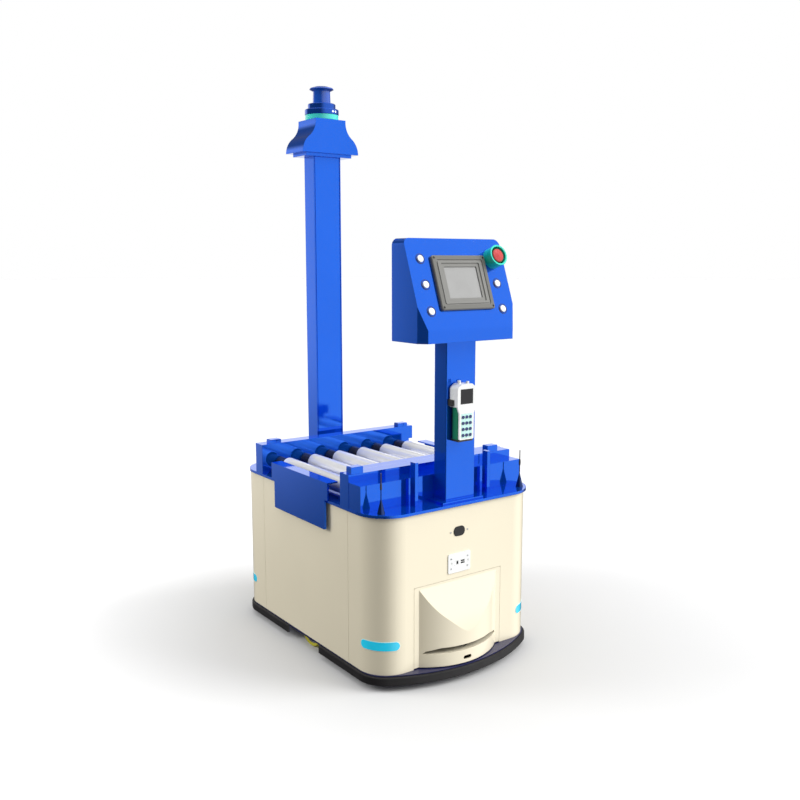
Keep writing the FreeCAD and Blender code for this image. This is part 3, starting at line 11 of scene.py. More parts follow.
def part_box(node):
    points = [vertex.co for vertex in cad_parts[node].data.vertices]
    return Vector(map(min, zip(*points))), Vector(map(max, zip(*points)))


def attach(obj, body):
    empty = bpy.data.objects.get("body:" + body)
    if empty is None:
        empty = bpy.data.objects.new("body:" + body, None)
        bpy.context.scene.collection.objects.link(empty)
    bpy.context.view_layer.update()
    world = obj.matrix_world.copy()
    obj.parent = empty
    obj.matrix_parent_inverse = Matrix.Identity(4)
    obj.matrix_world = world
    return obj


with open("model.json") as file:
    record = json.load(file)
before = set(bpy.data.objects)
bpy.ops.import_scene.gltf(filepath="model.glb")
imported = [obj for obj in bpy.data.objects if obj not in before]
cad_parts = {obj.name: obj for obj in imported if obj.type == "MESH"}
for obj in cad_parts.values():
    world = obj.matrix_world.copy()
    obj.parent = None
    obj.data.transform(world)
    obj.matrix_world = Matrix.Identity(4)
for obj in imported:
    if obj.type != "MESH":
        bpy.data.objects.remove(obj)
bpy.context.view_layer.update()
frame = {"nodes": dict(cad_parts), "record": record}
NODES = frame["nodes"]
RECORD = frame["record"]

# ---------------------------------------------------------------- camera and light
CAMERA_PLACE = Vector((-1.6034, -2.2962, 1.1800))
CAMERA_YAW = math.radians(36.109)       # from +Y towards +X
CAMERA_PITCH = math.radians(8.782)      # downwards
CAMERA_LENS = 0.04043
SENSOR_WIDTH = 0.036
MILLI = 1000.0

KEY_FROM, KEY_SPREAD, KEY_STRENGTH = Vector((0.66, -0.56, 0.5)), math.radians(35.0), 2.3
KEY_DISTANCE = 4.0
FILL_PLACE, FILL_SIZE, FILL_POWER = Vector((-2.8, 1.9, 1.6)), 1.8, 84.0
FILL_AIM = Vector((0.0, 0.0, 0.6))

# Each part of the sky has a direction, the cosines where its light starts and is full, and a strength.
UP, DOWN = (0.0, 0.0, 1.0), (0.0, 0.0, -1.0)
AMBIENT_LIGHT = 0.13
OVERHEAD_REACH, OVERHEAD_LIGHT = (0.5, 0.9), 1.5
FRONT_SIDE, FRONT_REACH, FRONT_LIGHT = (0.55, -0.83, 0.1), (0.25, 0.9), 1.25
BACK_SIDE, BACK_REACH, BACK_LIGHT = (0.2, 0.98, 0.0), (0.6, 0.78), 1.3
BACK_ABOVE, BACK_BELOW = (-0.35, -0.05), (-0.45, -0.22)
BACKDROP_WHITE = 1.0

FLOOR_RADIUS, FLOOR_SIDES = 60.0, 96
SHADOW_AND_FLOOR_GREYS = ((0.62, 0.62, 0.62), (0.8, 0.8, 0.8))     # painted shadow under the robot, and the plain floor away from it
FLOOR_SHADE = (0.5, 1.3)                # radii where the painted shadow's grey ends and the plain floor's grey starts

# ---------------------------------------------------------------- sizes of the small pieces
ACROSS = Vector((1.0, 0.0, 0.0))
FRONT = Vector((0.0, -1.0, 0.0))
PRESS = next(j for j in RECORD["behaviour"]["joints"] if j["name"] == "button_press_1")["axis"]
FACE = -Vector(PRESS)                   # outwards from the operator's face

NOISE_SPREAD = (0.3, 0.7)               # most of a noise lies between these values
BLEND = 0.0002                          # width of the line between two colours of one solid
ROLLER_HUB = 0.053                      # length of the bearing hub at each end of a roller
ANTENNA_WHIP = 0.045
BEZEL_FRAME, BEZEL_BLEND = 0.013, 0.0003    # width of the display frame outside its groove
WHEEL_HUB, CASTER_HUB = 0.80, 0.72      # radius of the hub, as a share of the tyre's
HUB_BLEND = 0.01

BEZEL_SCREW = (0.0029, 0.0014)          # head radius and height, here and below
BEZEL_SCREW_INSET, BEZEL_SCREW_DEPTH = 0.0075, 0.0015
WINDOW_SCREW = (0.0028, 0.0012)
WINDOW_SCREW_GAP = 0.007                # from the window's edge to the screw's centre
WINDOW_PROUD = 0.0015

PORT_DEPTH = 0.0016
BLOCK_X, BLOCK_HALF, BLOCK_CORNER, BLOCK_HEIGHT = 0.012, (0.0077, 0.0057), 0.001, 0.0009
OPENING_CORNER, OPENING_HEIGHT = 0.0006, 0.0004
OPENINGS = (                            # middle and half size
    ((BLOCK_X, -0.0029), (0.0062, 0.0021)),
    ((BLOCK_X, 0.0029), (0.0062, 0.0021)),
    ((0.0045 - BLOCK_X, 0.0), (0.0026, 0.0044)),
)
JACK_X, JACK_RADIUS, JACK_HEIGHT, JACK_FLOOR = 0.030, 0.0038, 0.0012, 0.0003
JACK_BORE = (0.6, 0.55)                 # at its mouth and floor, as shares of the radius
PORT_SCREW = (0.0026, 0.0012)
PORT_SCREWS = (0.030, 0.0145)

SCREEN_HALF, SCREEN_CORNER, SCREEN_UP, SCREEN_SINK = (0.0222, 0.0207), 0.0015, 0.0385, 0.001
SCREEN_LAYERS = ((0.0, 0.0), (0.0, 0.0004), (-0.0005, 0.0006))
BUTTON_RING = (0.0129, 0.0147, 0.0009)  # inner radius, outer radius, height
RING_BEVEL = 0.0004
COLLAR_BEAD = ((-0.0016, -0.001), (-0.0016, 0.0001), (-0.001, 0.0004), (-0.0004, 0.0001),
               (0.0001, -0.0006), (0.0001, -0.001))     # outwards from the collar's radius, and up
LED_RADIUS, LED_TURNS, LED_HEIGHT, LED_SINK = 0.003, (-81.0, -69.0), 0.0085, 0.0004
LED_DOME = ((1.0, 0.0), (1.0, 0.0004), (0.8, 0.0008), (0.3, 0.001))  # share of the radius, height
LIGHT_TIPS = (0.074, 0.084)             # from the covers' side and front
LIGHT_CORNERS = {-1: 0.092, 1: 0.078}   # radius of the front and rear corners
RIM_RADIUS, RIM_STEPS = 0.0009, 12

# ---------------------------------------------------------------- colours, linear
NAVY = (0.012, 0.014, 0.075)
FRAME_GREY = (0.06, 0.065, 0.08)
RUBBER = (0.012, 0.011, 0.012)
CREAM = (0.86, 0.785, 0.6)
BLUE = (0.003, 0.125, 0.76)
SCANNER_BLUE = (0.002, 0.08, 0.5)
ANTENNA_BLUE = (0.003, 0.03, 0.16)
INK = (0.012, 0.012, 0.014)
CHARCOAL = (0.035, 0.032, 0.03)
CYAN = (0.01, 0.52, 0.75)
CYAN_RIM = (0.5, 0.9, 0.95)
TEAL = (0.01, 0.8, 0.58)
RING_TEAL = (0.06, 0.72, 0.62)
WHITE = (0.86, 0.87, 0.86)
MINT = (0.58, 0.9, 0.84)
HMI_GREY = (0.16, 0.158, 0.145)
STEP_GREY = (0.225, 0.223, 0.21)
SCREEN_GREY = (0.34, 0.34, 0.335)
RED = (0.56, 0.035, 0.035)
GREEN = (0.012, 0.21, 0.1)
KEY_BLUE = (0.003, 0.012, 0.14)
STEEL = (0.62, 0.63, 0.65)
ROLLER_STEEL = (0.96, 0.96, 0.96)
ALLOY = (0.5, 0.5, 0.52)
TYRE_YELLOW = (0.46, 0.42, 0.03)
CASTER_GREY = (0.06, 0.06, 0.065)


class Front:
    """The front of a node, seen along a normal in the YZ plane."""

    def __init__(self, node, normal):
        self.axes = (ACROSS, normal.cross(ACROSS), normal)
        corners = [corner.co for corner in NODES[node].data.vertices]
        spans = [[corner.dot(axis) for corner in corners] for axis in self.axes]
        self.reach = [(min(span), max(span)) for span in spans]
        self.half = [(high - low) / 2 for low, high in self.reach]

    def spot(self, across=0.0, up=0.0, sink=0.0):
        """A frame facing outwards, off the node's middle and under its foremost point."""
        places = [(low + high) / 2 + move for (low, high), move in zip(self.reach[:2], (across, up))]
        places.append(self.reach[2][1] - sink)
        origin = sum((axis * place for axis, place in zip(self.axes, places)), Vector())
        turn = Matrix(self.axes).transposed().to_4x4()
        return Matrix.Translation(origin) @ turn


class Finish:
    """One procedural material: a shader whose colour, gloss and relief come from its own nodes."""

    def __init__(self, name, **shader):
        self.material = bpy.data.materials.new(name)
        self.material.use_nodes = True
        self.tree = self.material.node_tree
        self.links = self.tree.links
        self.shader = self.tree.nodes["Principled BSDF"]
        for socket, value in shader.items():
            self.shader.inputs[socket.replace("_", " ")].default_value = value
        self.place = self.tree.nodes.new("ShaderNodeTexCoord").outputs["Object"]

    def node(self, kind, **settings):
        made = self.tree.nodes.new(kind)
        for key, value in settings.items():
            setattr(made, key, value)
        return made

    def noise(self, size, detail=3.0, stretch=(1.0, 1.0, 1.0)):
        """A cloudy value from 0 to 1 whose patches are about that size, longer along a stretched axis."""
        mapping = self.node("ShaderNodeMapping")
        mapping.inputs["Scale"].default_value = [1.0 / (size * s) for s in stretch]
        self.links.new(self.place, mapping.inputs["Vector"])
        noise = self.node("ShaderNodeTexNoise")
        noise.inputs["Scale"].default_value = 1.0
        noise.inputs["Detail"].default_value = detail
        self.links.new(mapping.outputs["Vector"], noise.inputs["Vector"])
        return noise.outputs["Fac"]

    def ramp(self, value, low, high, to_low=0.0, to_high=1.0):
        spread = self.node("ShaderNodeMapRange", clamp=True)
        numbers = {"From Min": low, "From Max": high, "To Min": to_low, "To Max": to_high}
        for socket, number in numbers.items():
            spread.inputs[socket].default_value = number
        self.links.new(value, spread.inputs["Value"])
        return spread.outputs["Result"]

    def mix(self, factor, first, second):
        """Blends two colours, each a tuple or a socket."""
        blend = self.node("ShaderNodeMix", data_type="RGBA")
        self.links.new(factor, blend.inputs["Factor"])
        for key, colour in (("A", first), ("B", second)):
            socket = next(s for s in blend.inputs if s.name == key and s.type == "RGBA")
            if isinstance(colour, tuple):
                socket.default_value = (*colour, 1.0)
            else:
                self.links.new(colour, socket)
        return next(s for s in blend.outputs if s.type == "RGBA")

    def between(self, factor, first, second):
        """Blends two numbers."""
        return self.ramp(factor, 0.0, 1.0, first, second)

    def math(self, operation, first, second=None):
        sums = self.node("ShaderNodeMath", operation=operation)
        for socket, value in zip(sums.inputs, (first, second)):
            if value is None:
                continue
            if isinstance(value, float):
                socket.default_value = value
            else:
                self.links.new(value, socket)
        return sums.outputs[0]

    def drive(self, socket, value):
        self.links.new(value, self.shader.inputs[socket])

    def colour(self, value):
        self.drive("Base Color", value)

    def cloudy(self, colour, swing, size):
        """The colour, drifting a little lighter and darker."""
        darker = tuple(c * (1.0 - swing) for c in colour)
        lighter = tuple(min(1.0, c * (1.0 + swing)) for c in colour)
        return self.mix(self.ramp(self.noise(size), *NOISE_SPREAD), darker, lighter)

    def gloss(self, low, high, size):
        """Roughness that wanders between two values."""
        self.drive("Roughness", self.ramp(self.noise(size), *NOISE_SPREAD, low, high))

    def relief(self, value, depth, edge=0.0):
        """Raises the surface by a value, over edges rounded by a radius."""
        bump = self.node("ShaderNodeBump")
        bump.inputs["Distance"].default_value = depth
        self.links.new(value, bump.inputs["Height"])
        if edge:
            self.links.new(self.rounding(edge), bump.inputs["Normal"])
        self.drive("Normal", bump.outputs["Normal"])

    def rounding(self, radius):
        bevel = self.node("ShaderNodeBevel", samples=4)
        bevel.inputs["Radius"].default_value = radius
        return bevel.outputs["Normal"]

    def along(self, axis):
        """The place along one axis."""
        split = self.node("ShaderNodeSeparateXYZ")
        self.links.new(self.place, split.inputs["Vector"])
        return split.outputs[axis]

    def distance(self, centre, axis):
        """How far a point lies from a line through centre along one axis."""
        flat = self.node("ShaderNodeVectorMath", operation="MULTIPLY")
        flat.inputs[1].default_value = [0.0 if name == axis else 1.0 for name in "XYZ"]
        self.links.new(self.place, flat.inputs[0])
        length = self.node("ShaderNodeVectorMath", operation="DISTANCE")
        length.inputs[1].default_value = [0.0 if n == axis else c for n, c in zip("XYZ", centre)]
        self.links.new(flat.outputs["Vector"], length.inputs[0])
        return length.outputs["Value"]


def moulded(name, colour, roughness, grain=0.0006, depth=0.00004, edge=0.0008, swing=0.04, **shader):
    """Moulded plastic with a fine spark-eroded grain."""
    finish = Finish(name, **shader)
    finish.colour(finish.cloudy(colour, swing, 0.06))
    finish.gloss(roughness * 0.85, roughness * 1.15, 0.03)
    finish.relief(finish.noise(grain, 2.0), depth, edge)
    return finish.material


def painted(name, colour, roughness, coat, peel=0.004, depth=0.00003, edge=0.0012, swing=0.03, **shader):
    """Sprayed enamel: a slight orange peel under a clear coat."""
    finish = Finish(name, Coat_Weight=coat, Coat_Roughness=0.04, **shader)
    finish.colour(finish.cloudy(colour, swing, 0.25))
    finish.gloss(roughness * 0.93, roughness * 1.07, 0.12)
    finish.relief(finish.noise(peel, 2.0), depth, edge)
    return finish.material


def brushed(name, colour, roughness, stretch, edge=0.0006, **shader):
    """Bare metal with fine lines left by turning or brushing."""
    finish = Finish(name, Metallic=1.0, **shader)
    lines = finish.noise(0.0008, 4.0, stretch)
    finish.colour(finish.cloudy(colour, 0.06, 0.05))
    finish.drive("Roughness", finish.ramp(lines, *NOISE_SPREAD, roughness * 0.7, roughness * 1.4))
    finish.relief(lines, 0.00002, edge)
    return finish.material


def middle(node):
    low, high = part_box(node)
    return (low + high) / 2


def wheel_finish(node):
    """A yellow tread around an alloy hub."""
    low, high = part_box(node)
    radius = (high.z - low.z) / 2
    finish = Finish(node + "_finish", Specular_IOR_Level=0.4)
    reach = finish.distance(middle(node), "X")
    tread = finish.ramp(reach, radius * WHEEL_HUB, radius * (WHEEL_HUB + HUB_BLEND))
    hub, tyre = finish.cloudy(ALLOY, 0.08, 0.02), finish.cloudy(TYRE_YELLOW, 0.12, 0.015)
    finish.colour(finish.mix(tread, hub, tyre))
    finish.drive("Metallic", finish.between(tread, 1.0, 0.0))
    finish.drive("Roughness", finish.between(tread, 0.35, 0.55))
    finish.relief(finish.noise(0.002, 4.0), 0.0001, 0.001)
    return finish.material


def caster_finish(node):
    """A grey rubber tread around a lighter hub."""
    low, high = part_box(node)
    radius = (high.z - low.z) / 2
    finish = Finish(node + "_finish", Specular_IOR_Level=0.35)
    reach = finish.distance(middle(node), "X")
    tread = finish.ramp(reach, radius * CASTER_HUB, radius * (CASTER_HUB + HUB_BLEND))
    hub, tyre = finish.cloudy(HMI_GREY, 0.08, 0.02), finish.cloudy(CASTER_GREY, 0.15, 0.012)
    finish.colour(finish.mix(tread, hub, tyre))
    finish.gloss(0.45, 0.7, 0.01)
    finish.relief(finish.noise(0.0015, 4.0), 0.0001, 0.0008)
    return finish.material


def roller_finish():
    """Bright tubes with dark bearing hubs at their ends."""
    low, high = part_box("roller_1")
    tube = (high.y - low.y) / 2 - ROLLER_HUB
    finish = Finish("roller_finish")
    run = finish.math("ABSOLUTE", finish.math("SUBTRACT", finish.along("Y"), (low.y + high.y) / 2))
    cap = finish.ramp(run, tube - BLEND, tube)
    lines = finish.noise(0.0006, 3.0, (1.0, 30.0, 1.0))
    steel, hub = finish.cloudy(ROLLER_STEEL, 0.03, 0.05), finish.cloudy(CHARCOAL, 0.1, 0.01)
    finish.colour(finish.mix(cap, steel, hub))
    finish.drive("Metallic", finish.between(cap, 0.4, 0.0))
    finish.drive("Roughness", finish.ramp(lines, *NOISE_SPREAD, 0.12, 0.22))
    finish.relief(lines, 0.00001, 0.0008)
    return finish.material


def light_finish():
    """Glowing light lenses."""
    finish = Finish("corner_light_finish", Roughness=0.18, Coat_Weight=1.0, Emission_Strength=0.35)
    glow = finish.cloudy(CYAN, 0.05, 0.02)
    finish.colour(glow)
    finish.drive("Emission Color", glow)
    finish.relief(finish.noise(0.004, 1.0), 0.00002, 0.001)
    return finish.material


def collar_finish():
    """Fine-grained teal moulding."""
    finish = Finish("collar_finish", Coat_Weight=0.5)
    finish.colour(finish.cloudy(TEAL, 0.05, 0.01))
    finish.gloss(0.2, 0.35, 0.02)
    finish.relief(finish.noise(0.0008, 2.0), 0.00004, 0.0012)
    return finish.material


def antenna_finish():
    """Dark lacquered base under a black rubber whip."""
    finish = Finish("antenna_finish", Coat_Weight=0.4)
    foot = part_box("antennas")[1].z - ANTENNA_WHIP
    whip = finish.ramp(finish.along("Z"), foot - BLEND, foot)
    base, rubber = finish.cloudy(ANTENNA_BLUE, 0.05, 0.02), finish.cloudy(CHARCOAL, 0.1, 0.01)
    finish.colour(finish.mix(whip, base, rubber))
    finish.drive("Metallic", finish.between(whip, 0.7, 0.0))
    finish.drive("Roughness", finish.between(whip, 0.1, 0.5))
    finish.relief(finish.noise(0.002, 2.0), 0.00002, 0.0006)
    return finish.material


def keypad_finish():
    """Navy keys on a mint mat."""
    finish = Finish("keypad_finish", Coat_Weight=0.6)
    mat_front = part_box("handset_body")[0].y
    keys = finish.ramp(finish.along("Y"), mat_front - 2 * BLEND, mat_front - BLEND, 1.0, 0.0)
    finish.colour(finish.mix(keys, finish.cloudy(MINT, 0.03, 0.01), finish.cloudy(KEY_BLUE, 0.1, 0.006)))
    finish.gloss(0.15, 0.3, 0.01)
    finish.relief(finish.noise(0.0006, 2.0), 0.00002, 0.0012)
    return finish.material


def bezel_finish():
    """Grey moulding, paler on the steps inside its outer frame."""
    bezel = Front("hmi_bezel", FACE)
    finish = Finish("bezel_finish", Coat_Weight=0.2)
    borders = []
    for axis, (low, high) in zip(bezel.axes[:2], bezel.reach):
        place = finish.node("ShaderNodeVectorMath", operation="DOT_PRODUCT")
        finish.links.new(finish.place, place.inputs[0])
        place.inputs[1].default_value = axis
        away = finish.math("ABSOLUTE", finish.math("SUBTRACT", place.outputs["Value"], (low + high) / 2))
        borders.append(finish.math("SUBTRACT", (high - low) / 2, away))
    steps = finish.ramp(finish.math("MINIMUM", *borders), BEZEL_FRAME, BEZEL_FRAME + BEZEL_BLEND)
    outer, inner = finish.cloudy(HMI_GREY, 0.04, 0.06), finish.cloudy(STEP_GREY, 0.04, 0.06)
    finish.colour(finish.mix(steps, outer, inner))
    finish.gloss(0.32, 0.44, 0.03)
    finish.relief(finish.noise(0.0006, 2.0), 0.00004, 0.0012)
    return finish.material


def led_finish():
    """A small white lamp that glows."""
    finish = Finish("led_finish", Roughness=0.2, Emission_Strength=1.2)
    glow = finish.cloudy(WHITE, 0.02, 0.003)
    finish.colour(glow)
    finish.drive("Emission Color", glow)
    return finish.material


FINISHES = {
    "navy_steel": painted("navy_enamel", NAVY, 0.4, 0.5),
    "frame_steel": painted("frame_enamel", FRAME_GREY, 0.55, 0.1, peel=0.002),
    "bumper_rubber": moulded("bumper_rubber", RUBBER, 0.55, grain=0.0012, depth=0.0001, swing=0.2),
    "cream_paint": painted("cream_enamel", CREAM, 0.3, 0.6, edge=0.0014, swing=0.015),
    "blue_gloss": painted("blue_lacquer", BLUE, 0.06, 0.35, edge=0.0016, Metallic=0.75),
    "blue_plastic": painted("scanner_lacquer", SCANNER_BLUE, 0.08, 0.4, edge=0.001, Metallic=0.7),
    "black_gloss": moulded("black_gloss", INK, 0.15, Coat_Weight=0.2, Specular_IOR_Level=0.3),
    "black_plastic": moulded("black_moulding", CHARCOAL, 0.42),
    "cyan_light": light_finish(),
    "white_plastic": moulded("white_moulding", WHITE, 0.3),
    "screen_glass": moulded("screen_film", SCREEN_GREY, 0.22, grain=0.0003, depth=0.00001, Coat_Weight=0.6),
    "red_plastic": moulded("red_moulding", RED, 0.28, Coat_Weight=0.4),
    "green_plastic": moulded("green_moulding", GREEN, 0.45, grain=0.0009),
    "roller_steel": roller_finish(),
    "bright_steel": brushed("zinc_steel", STEEL, 0.32, (1.0, 1.0, 6.0)),
    "motor_alloy": brushed("cast_alloy", ALLOY, 0.42, (1.0, 1.0, 1.0)),
    "tinted_window": moulded("scanner_window", SCANNER_BLUE, 0.06, grain=0.002, depth=0.00001,
                             Coat_Weight=1.0),
    "button_white": moulded("button_white", WHITE, 0.25, Coat_Weight=0.4),
}
OWN_FINISHES = {
    "scanner_ring": moulded("ring_moulding", RING_TEAL, 0.25, Coat_Weight=0.5),
    "antennas": antenna_finish(),
    "handset_keypad": keypad_finish(),
    "estop_collar": collar_finish(),
    "hmi_bezel": bezel_finish(),
}


def dress_nodes():
    """Every CAD node gets the finish of its slot, or its own."""
    for part in RECORD["subparts"]:
        node = part["node"]
        if node.endswith("drive_wheel"):
            finish = wheel_finish(node)
        elif node.startswith("caster_wheel"):
            finish = caster_finish(node)
        else:
            finish = OWN_FINISHES.get(node) or FINISHES[part["material_slot"]]
        for slot in NODES[node].material_slots:
            slot.material = finish


# ---------------------------------------------------------------- small pieces
def add_piece(name, build, finish, body="robot_body"):
    """Turns a built mesh into a piece that rides on a body."""
    bmesh.ops.recalc_face_normals(build, faces=build.faces)
    mesh = bpy.data.meshes.new(name)
    build.to_mesh(mesh)
    build.free()
    mesh.materials.append(finish)
    piece = bpy.data.objects.new(name, mesh)
    bpy.context.scene.collection.objects.link(piece)
    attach(piece, body)


def bridge(build, rings, closed=False):
    """Skins rings of points, with end faces, or round to the first ring where closed."""
    loops = [[build.verts.new(point) for point in ring] for ring in rings]
    pairs = list(zip(loops, loops[1:])) + ([(loops[-1], loops[0])] if closed else [])
    for first, second in pairs:
        for i in range(len(first)):
            j = (i + 1) % len(first)
            build.faces.new((first[i], first[j], second[j], second[i]))
    if not closed:
        build.faces.new(loops[0][::-1])
        build.faces.new(loops[-1])


def lathe(build, outline, place, sides=24, closed=False):
    """Turns (radius, height) points round the place's Z; a third value counts the sides of a polygon."""
    rings = []
    for radius, height, *corners in outline:
        ring = []
        for i in range(sides):
            turn = 2 * math.pi * i / sides
            reach = radius
            if corners:
                part = 2 * math.pi / corners[0]
                reach = radius / math.cos(turn % part - part / 2)
            ring.append(place @ Vector((reach * math.cos(turn), reach * math.sin(turn), height)))
        rings.append(ring)
    bridge(build, rings, closed)


def screw(build, place, radius, height):
    """A screw head with a rounded rim round a six-sided recess."""
    hole, floor = radius * 0.5, height * 0.35
    rim = [(radius, 0.0), (radius, height * 0.6), (radius * 0.9, height * 0.9), (radius * 0.75, height)]
    lathe(build, rim + [(hole, height, 6), (hole * 0.92, floor, 6)], place)


def pad(build, place, half, corner, layers, steps=6):
    """Stacks rounded rectangles along the place's Z, each grown by the first value of its layer."""
    rings = []
    for grow, height in layers:
        ring = []
        for quarter in range(4):
            side_x, side_y = ((1, 1), (-1, 1), (-1, -1), (1, -1))[quarter]
            for step in range(steps + 1):
                turn = math.pi / 2 * (quarter + step / steps)
                x = side_x * (half[0] - corner) + (corner + grow) * math.cos(turn)
                y = side_y * (half[1] - corner) + (corner + grow) * math.sin(turn)
                ring.append(place @ Vector((x, y, height)))
        rings.append(ring)
    bridge(build, rings)


def tube(build, path, radius, sides=8):
    """A closed bead round a closed path."""
    rings = []
    for i, point in enumerate(path):
        run = (path[(i + 1) % len(path)] - path[i - 1]).normalized()
        side = run.cross(Vector((point.x, point.y, 0.0)).normalized()).normalized()
        out = side.cross(run)
        rings.append([point + radius * (math.cos(2 * math.pi * k / sides) * side
                                        + math.sin(2 * math.pi * k / sides) * out) for k in range(sides)])
    bridge(build, rings, closed=True)


def bezel_screws():
    """A screw in each corner of the display's frame."""
    bezel = Front("hmi_bezel", FACE)
    across, up = (half - BEZEL_SCREW_INSET for half in bezel.half[:2])
    build = bmesh.new()
    for side in (-1, 1):
        for end in (-1, 1):
            screw(build, bezel.spot(side * across, end * up, BEZEL_SCREW_DEPTH), *BEZEL_SCREW)
    add_piece("bezel_screws", build, FINISHES["black_plastic"])


def window_screws():
    """A screw on either side of the sensor window."""
    window = Front("front_sensor_window", FRONT)
    across = window.half[0] + WINDOW_SCREW_GAP
    build = bmesh.new()
    for side in (-1, 1):
        screw(build, window.spot(side * across, 0.0, WINDOW_PROUD), *WINDOW_SCREW)
    add_piece("window_screws", build, FINISHES["bright_steel"])


def port_fittings():
    """Contact blocks in the plate's recesses, and the plate's screws."""
    plate = Front("service_port_plate", FRONT)
    blocks, sockets, screws = bmesh.new(), bmesh.new(), bmesh.new()
    mouth, floor = (JACK_RADIUS * share for share in JACK_BORE)
    jack = [(JACK_RADIUS, 0.0), (JACK_RADIUS, JACK_HEIGHT), (mouth, JACK_HEIGHT), (floor, JACK_FLOOR)]
    for side in (-1, 1):
        pad(blocks, plate.spot(side * BLOCK_X, 0.0, PORT_DEPTH), BLOCK_HALF, BLOCK_CORNER,
            [(0.0, 0.0), (0.0, BLOCK_HEIGHT)])
        lathe(blocks, jack, plate.spot(side * JACK_X, 0.0, PORT_DEPTH))
        for end in (-1, 1):
            screw(screws, plate.spot(side * PORT_SCREWS[0], end * PORT_SCREWS[1]), *PORT_SCREW)
    for (across, up), half in OPENINGS:
        pad(sockets, plate.spot(across, up, PORT_DEPTH - BLOCK_HEIGHT), half, OPENING_CORNER,
            [(0.0, 0.0), (0.0, OPENING_HEIGHT)])
    add_piece("port_blocks", blocks, FINISHES["white_plastic"])
    add_piece("port_sockets", sockets, FINISHES["black_gloss"])
    add_piece("port_screws", screws, FINISHES["bright_steel"])


def handset_screen():
    """The dark screen let into the handset's head."""
    build = bmesh.new()
    place = Front("handset_body", FRONT).spot(0.0, SCREEN_UP, SCREEN_SINK)
    pad(build, place, SCREEN_HALF, SCREEN_CORNER, SCREEN_LAYERS)
    add_piece("handset_screen", build, FINISHES["black_gloss"], "handset")


def button_rings():
    """A dark ring on the operator's face round each push button."""
    inner, outer, height = BUTTON_RING
    outline = [(inner, 0.0), (inner, height), (outer - RING_BEVEL, height), (outer, height - RING_BEVEL),
               (outer, 0.0)]
    face = Front("estop_collar", FACE).reach[2][0]
    build = bmesh.new()
    for node in sorted(name for name in NODES if name.startswith("push_button_")):
        button = Front(node, FACE)
        lathe(build, outline, button.spot(sink=button.reach[2][1] - face), sides=40, closed=True)
    add_piece("button_rings", build, FINISHES["navy_steel"])


def collar_rim():
    """The pale bead round the mouth of the stop button's collar."""
    collar = Front("estop_collar", FACE)
    outline = [(collar.half[0] + out, height) for out, height in COLLAR_BEAD]
    build = bmesh.new()
    lathe(build, outline, collar.spot(), sides=64, closed=True)
    add_piece("collar_rim", build, moulded("rim_moulding", RING_TEAL, 0.2))


def scanner_leds():
    """Two lamps on the lower step of the scanner."""
    low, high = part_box("scanner_body")
    centre = (low + high) / 2
    radius = (high.x - low.x) / 2
    outline = [(LED_RADIUS * share, height) for share, height in LED_DOME]
    build = bmesh.new()
    for degrees in LED_TURNS:
        turn = math.radians(degrees)
        out = Vector((math.cos(turn), math.sin(turn), 0.0))
        place = Vector((centre.x, centre.y, low.z + LED_HEIGHT)) + out * (radius - LED_SINK)
        turned = Matrix.Translation(place) @ out.to_track_quat("Z", "Y").to_matrix().to_4x4()
        lathe(build, outline, turned, sides=16)
    add_piece("scanner_leds", build, led_finish())


def light_rims():
    """A pale gasket round each corner light, along the rounded corner of the covers."""
    low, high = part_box("corner_lights")
    middle_z, half = (low.z + high.z) / 2, (high.z - low.z) / 2
    side_x, front_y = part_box("front_cover")[1].x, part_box("rear_cover")[1].y
    straight = [i / RIM_STEPS for i in range(RIM_STEPS + 1)]
    round_end = [math.pi * i / RIM_STEPS for i in range(1, RIM_STEPS)]
    build = bmesh.new()
    for end, radius in LIGHT_CORNERS.items():
        centre = Vector((side_x - radius, front_y - radius, 0.0))
        start = math.asin(max(0.0, side_x - LIGHT_TIPS[0] - centre.x) / radius)
        stop = math.acos(max(0.0, front_y - LIGHT_TIPS[1] - centre.y) / radius)
        first, last = start * radius + half, stop * radius - half
        run = last - first
        outline = [(first + run * share, half) for share in straight]
        outline += [(last + half * math.sin(turn), half * math.cos(turn)) for turn in round_end]
        outline += [(last - run * share, -half) for share in straight]
        outline += [(first - half * math.sin(turn), -half * math.cos(turn)) for turn in round_end]
        for side in (-1, 1):
            path = []
            for along, up in outline:
                turn = along / radius
                x = side * (centre.x + radius * math.sin(turn))
                y = end * (centre.y + radius * math.cos(turn))
                path.append(Vector((x, y, middle_z + up)))
            tube(build, path, RIM_RADIUS)
    add_piece("light_rims", build, moulded("rim_gasket", CYAN_RIM, 0.3))


def studio_floor():
    """A pale floor with a painted shadow darkening it under the robot, that no other surface is lit by."""
    mesh = bpy.data.meshes.new("studio_floor")
    build = bmesh.new()
    bmesh.ops.create_circle(build, cap_ends=True, segments=FLOOR_SIDES, radius=FLOOR_RADIUS)
    build.to_mesh(mesh)
    build.free()
    floor = bpy.data.objects.new("studio_floor", mesh)
    bpy.context.scene.collection.objects.link(floor)
    finish = Finish("floor_with_painted_shadow", Roughness=0.9, Specular_IOR_Level=0.0)
    # painted shadow: the grey is darker near the robot and blends out to the plain floor's grey further
    # away
    painted_shadow, plain_floor = (finish.cloudy(grey, 0.01, 0.8) for grey in SHADOW_AND_FLOOR_GREYS)
    finish.colour(finish.mix(finish.ramp(finish.distance(Vector(), "Z"), *FLOOR_SHADE), painted_shadow, plain_floor))
    floor.data.materials.append(finish.material)
    floor.visible_glossy = False
    floor.visible_diffuse = False


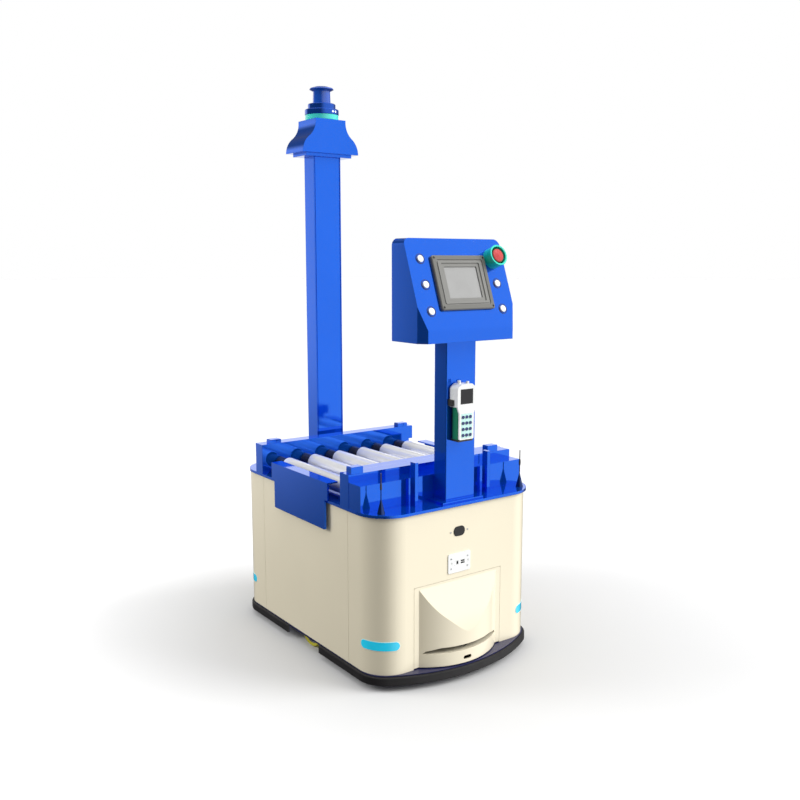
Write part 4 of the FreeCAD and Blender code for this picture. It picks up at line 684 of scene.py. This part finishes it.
def studio_world():
    """A white backdrop, lit overhead, in front and along the horizon behind, and dark between."""
    world = bpy.data.worlds.new("studio")
    bpy.context.scene.world = world
    world.use_nodes = True
    nodes, links = world.node_tree.nodes, world.node_tree.links
    seen, lit = nodes["Background"], nodes.new("ShaderNodeBackground")
    seen.inputs["Strength"].default_value = BACKDROP_WHITE
    seen.inputs["Color"].default_value = (1.0, 1.0, 1.0, 1.0)
    direction = nodes.new("ShaderNodeTexCoord").outputs["Generated"]

    def facing(towards, reach, strength=1.0):
        """Light that grows from nothing to its strength as the direction turns towards a side."""
        turn = nodes.new("ShaderNodeVectorMath")
        turn.operation = "DOT_PRODUCT"
        links.new(direction, turn.inputs[0])
        turn.inputs[1].default_value = towards
        spread = nodes.new("ShaderNodeMapRange")
        spread.interpolation_type = "SMOOTHSTEP"
        for socket, number in (("From Min", reach[0]), ("From Max", reach[1]), ("To Max", strength)):
            spread.inputs[socket].default_value = number
        links.new(turn.outputs["Value"], spread.inputs["Value"])
        return spread.outputs["Result"]

    def combined(operation, first, second):
        sums = nodes.new("ShaderNodeMath")
        sums.operation = operation
        for socket, value in zip(sums.inputs, (first, second)):
            if isinstance(value, float):
                socket.default_value = value
            else:
                links.new(value, socket)
        return sums.outputs[0]

    overhead = facing(UP, OVERHEAD_REACH, OVERHEAD_LIGHT)
    front = facing(FRONT_SIDE, FRONT_REACH, FRONT_LIGHT)
    band = combined("MULTIPLY", facing(UP, BACK_ABOVE), facing(DOWN, BACK_BELOW))
    behind = combined("MULTIPLY", facing(BACK_SIDE, BACK_REACH, BACK_LIGHT), band)
    total = combined("ADD", combined("ADD", overhead, front), combined("ADD", behind, AMBIENT_LIGHT))
    links.new(total, lit.inputs["Strength"])
    choose = nodes.new("ShaderNodeMixShader")
    links.new(nodes.new("ShaderNodeLightPath").outputs["Is Camera Ray"], choose.inputs["Fac"])
    links.new(lit.outputs[0], choose.inputs[1])
    links.new(seen.outputs[0], choose.inputs[2])
    links.new(choose.outputs[0], nodes["World Output"].inputs["Surface"])


def add_lamp(lamp, place, towards):
    made = bpy.data.objects.new(lamp.name, lamp)
    made.location = place
    made.rotation_euler = towards.to_track_quat("-Z", "Y").to_euler()
    made.visible_glossy = False
    bpy.context.scene.collection.objects.link(made)


def studio_lights():
    """A broad key from the right of the front, and a soft lamp behind the left side."""
    key = bpy.data.lights.new("key_light", "SUN")
    key.angle = KEY_SPREAD
    key.energy = KEY_STRENGTH
    add_lamp(key, KEY_FROM * KEY_DISTANCE, -KEY_FROM)
    fill = bpy.data.lights.new("fill_light", "AREA")
    fill.shape = "DISK"
    fill.size = FILL_SIZE
    fill.energy = FILL_POWER
    add_lamp(fill, FILL_PLACE, FILL_AIM - FILL_PLACE)


def studio_camera():
    lens = bpy.data.cameras.new("camera")
    lens.sensor_width = SENSOR_WIDTH * MILLI
    lens.lens = CAMERA_LENS * MILLI
    lens.clip_end = 2 * FLOOR_RADIUS
    camera = bpy.data.objects.new("camera", lens)
    camera.location = CAMERA_PLACE
    camera.rotation_euler = (math.pi / 2 - CAMERA_PITCH, 0.0, -CAMERA_YAW)
    bpy.context.scene.collection.objects.link(camera)
    bpy.context.scene.camera = camera


dress_nodes()
bezel_screws()
window_screws()
port_fittings()
handset_screen()
button_rings()
collar_rim()
scanner_leds()
light_rims()
studio_floor()
studio_world()
studio_lights()
studio_camera()
bpy.context.scene.view_settings.view_transform = "Standard"
